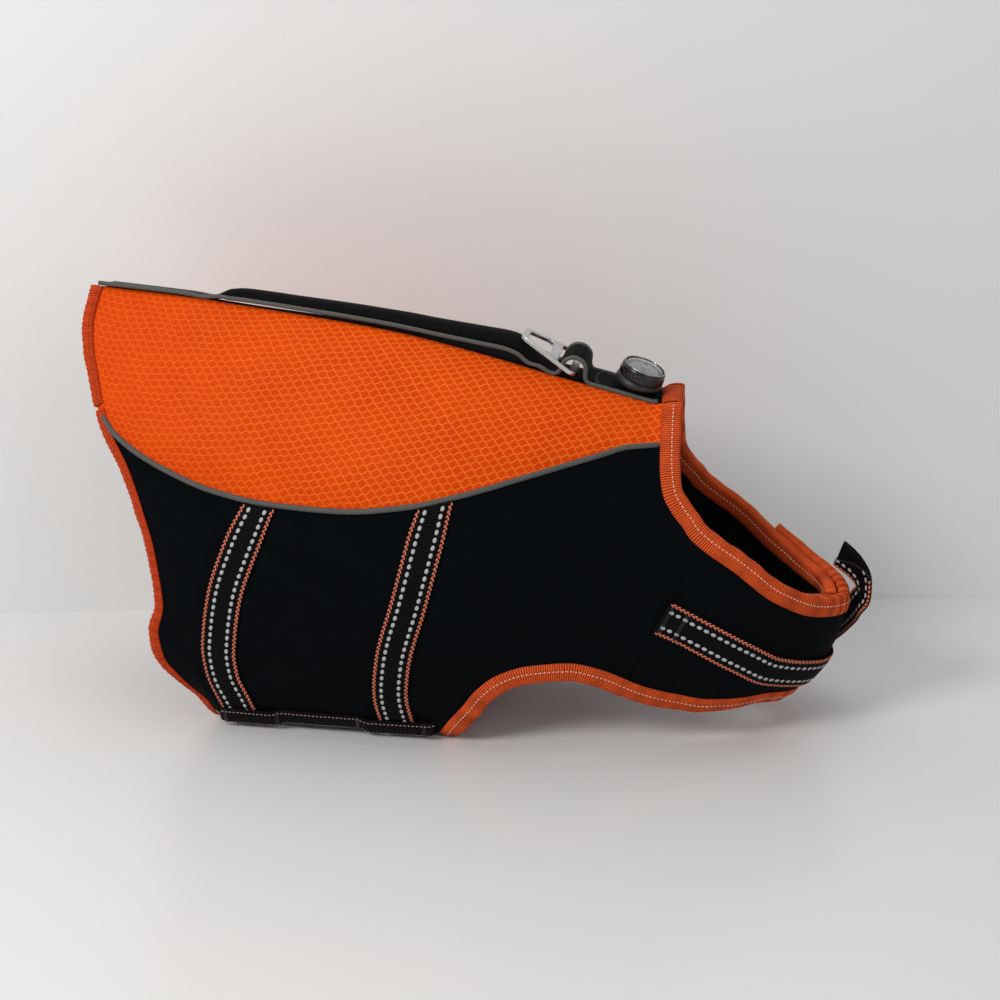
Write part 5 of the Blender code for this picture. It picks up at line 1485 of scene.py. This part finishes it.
edge_round.width, edge_round.segments, edge_round.limit_method = 0.0009, 4, "ANGLE"
edge_round.angle_limit = radians(50)
edge_round.harden_normals = True
fitted(leash_ring, "ring_metal", ["leash_ring"], "ring")

# %% [markdown]
# ## Safety lamp
#
# The lamp is a set of turned parts: a foot, a wider base, a knurled cap and a domed lens over crinkled foil. A
# turned part is a profile of radius and height, swept once round the axis. The knurls come from a radius that
# waves with the angle, only on the cap's lower band.

# %% Lamp
LAMP_ALONG = 107.0
LAMP_TILT = radians(6)
LAMP_FOOT_R, LAMP_FOOT_H = 12.0, 2.8   # narrower than the webbing, so that it clears the pipings
LAMP_BASE_R, LAMP_BASE_H = 16.6, 7.4
LAMP_CAP_R, LAMP_CAP_BORE, LAMP_CAP_H = 15.8, 13.4, 8.6
LAMP_LENS_R, LAMP_LENS_RISE = 13.0, 1.6


def lamp_frame():
    """Foot of the lamp's axis, and its directions: across two ways and up."""
    foot = spine(LAMP_ALONG, 0, 1.3 + WEBBING / 2 + SEAM_GAP + 0.2)
    aside = unit(spine(LAMP_ALONG, 1, 0) - spine(LAMP_ALONG, 0, 0))
    above = unit(spine(LAMP_ALONG, 0, 1) - spine(LAMP_ALONG, 0, 0))
    ahead = np.cross(aside, above)
    up = above * cos(LAMP_TILT) + ahead * sin(LAMP_TILT)
    return foot, np.cross(aside, up), aside, up, above

FLUTES = 40
lamp_foot, lamp_ahead, lamp_aside, lamp_up, lamp_above = lamp_frame()
lamp_angles = even(0, tau, 241)[:-1][:, None]
lamp_round = np.cos(lamp_angles) * lamp_ahead + np.sin(lamp_angles) * lamp_aside


def turned_part(name, profile, finish, slot, nodes, body, flutes=()):
    """Profile of radius and height turned about the lamp's axis; the rows in `flutes` are knurled."""
    rings = []
    for k, (radius, height) in enumerate(profile):
        bite = 0.55 * (0.5 - 0.5 * np.cos(FLUTES * lamp_angles)) ** 0.6 if k in flutes else 0
        rings.append(lamp_foot + (radius - bite) * lamp_round + height * lamp_up)
    return fitted(tube(name, np.stack(rings, 1), finish, closed=True), slot, nodes, body)


flat_round = lamp_round - (lamp_round @ lamp_above)[:, None] * lamp_above
base_profile = [  # radius, height, and how far the ring has tilted from the webbing's level to the lamp's
    (0.02, 0, 0), (LAMP_FOOT_R - 0.4, 0, 0), (LAMP_FOOT_R, 0.3, 0), (LAMP_FOOT_R, LAMP_FOOT_H - 0.3, 0),
    (LAMP_FOOT_R + 0.4, LAMP_FOOT_H, 0), (LAMP_BASE_R - 0.8, LAMP_FOOT_H + 0.1, 0),
    (LAMP_BASE_R, LAMP_FOOT_H + 0.9, 0.1), (LAMP_BASE_R - 0.1, LAMP_BASE_H - 1.9, 0.8),
    (LAMP_CAP_R - 0.2, LAMP_BASE_H - 0.5, 1), (LAMP_CAP_R - 0.6, LAMP_BASE_H, 1), (0.02, LAMP_BASE_H, 1),
]
rings = [lamp_foot + r * (flat_round * (1 - k) + lamp_round * k) + h * (lamp_above * (1 - k) + lamp_up * k)
         for r, h, k in base_profile]
piece = tube("lamp_foot_and_base", np.stack(rings, 1), moulded_black, closed=True)
fitted(piece, "lamp_plastic", ["lamp_base"])

cap_low, cap_high = LAMP_BASE_H + 0.3, LAMP_BASE_H + 0.3 + LAMP_CAP_H
cap_profile = [
    (LAMP_CAP_BORE, cap_low + 0.2), (LAMP_CAP_R - 0.5, cap_low), (LAMP_CAP_R, cap_low + 0.4),
    (LAMP_CAP_R, cap_low + 2.0), (LAMP_CAP_R, cap_low + 3.4), (LAMP_CAP_R - 0.2, cap_low + 3.9),
    (LAMP_CAP_R - 0.5, cap_low + 4.3), (LAMP_CAP_R - 0.3, cap_low + 4.8), (LAMP_CAP_R - 0.4, cap_high - 1.9),
    (LAMP_CAP_R - 1.0, cap_high - 0.9), (LAMP_CAP_R - 1.6, cap_high - 0.6),
    (LAMP_CAP_BORE + 0.3, cap_high - 0.7), (LAMP_CAP_BORE, cap_high - 1.0),
]
turned_part("lamp_knurled_cap", cap_profile, gloss_black, "lamp_cap_plastic", ["lamp_cap"], "lamp_top",
            flutes=(2, 3, 4))
turned_part("lamp_bright_rim", [(LAMP_CAP_R - 2.1, cap_high - 0.7), (LAMP_CAP_R - 1.2, cap_high - 0.6),
                                (LAMP_CAP_R - 1.4, cap_high - 0.1), (LAMP_CAP_R - 1.9, cap_high - 0.05)],
            bright_rim, "lamp_cap_plastic", (), "lamp_top")
lens_high = cap_high - 0.5
dome = [(LAMP_LENS_R * sin(a), lens_high - 0.6 + (LAMP_LENS_RISE + 0.5) * cos(a))
        for a in even(0.002, pi / 2, 14)]
under_dome = [(r * 0.97, h - 1.0) for r, h in dome[::-1]]
turned_part("lamp_clear_dome", dome + under_dome, clear_lens, "lamp_lens", ["lamp_lens"], "lamp_top")
foil = [(r, lens_high - down)
        for r, down in ((0.02, 1.6), (4, 1.5), (8, 1.7), (12.6, 1.9), (12.6, 2.6), (0.02, 2.6))]
turned_part("lamp_foil", foil, crinkled_foil, "lamp_lens", (), "lamp_top")


# %% [markdown]
# ## Floor and wall
#
# A pale glossy table and a white wall behind it. They are only a stage, not part of the jacket.

# %% Stage
STAGE_HALF = 3.0
STAGE_LINE = np.array([[-0.427, 0.118], [0.407, 0.272]])


def stage_finish(name, color, roughness):
    """Pale finish with the faintest mottling. Its back face is clear, so the wall never hides the jacket."""
    made, tree, shader = blank_finish(name, Roughness=roughness)
    mottle = noise(tree, add(tree, "TexCoord").outputs["Object"], 6.0)
    darker = tuple(c * 0.985 for c in color[:3]) + (1,)
    tree.links.new(mix(tree, mottle, color, darker), shader.inputs["Base Color"])
    behind, clear = add(tree, "NewGeometry").outputs["Backfacing"], add(tree, "BsdfTransparent").outputs[0]
    seen = add(tree, "MixShader", {0: behind, 1: shader.outputs[0], 2: clear})
    tree.links.new(seen.outputs[0], tree.nodes["Material Output"].inputs[0])
    return made


def plane(name, corners, finish):
    """One four-sided face of the studio."""
    mesh = bpy.data.meshes.new(name)
    mesh.from_pydata([tuple(c) for c in corners], [], [(0, 1, 2, 3)])
    mesh.materials.append(finish)
    made = bpy.data.objects.new(name, mesh)
    bpy.context.collection.objects.link(made)


wall_run = unit(STAGE_LINE[1] - STAGE_LINE[0])
wall_left, wall_right = STAGE_LINE[0] - STAGE_HALF * wall_run, STAGE_LINE[1] + STAGE_HALF * wall_run
plane("table", [(x, y, 0) for x, y in STAGE_HALF * np.array([(-1, -1), (1, -1), (1, 1), (-1, 1)])],
      stage_finish("white_table_finish", (0.80, 0.80, 0.80, 1), 0.28))
plane("wall", [(*wall_left, 0), (*wall_right, 0), (*wall_right, STAGE_HALF), (*wall_left, STAGE_HALF)],
      stage_finish("white_wall_finish", (0.84, 0.84, 0.84, 1), 0.8))
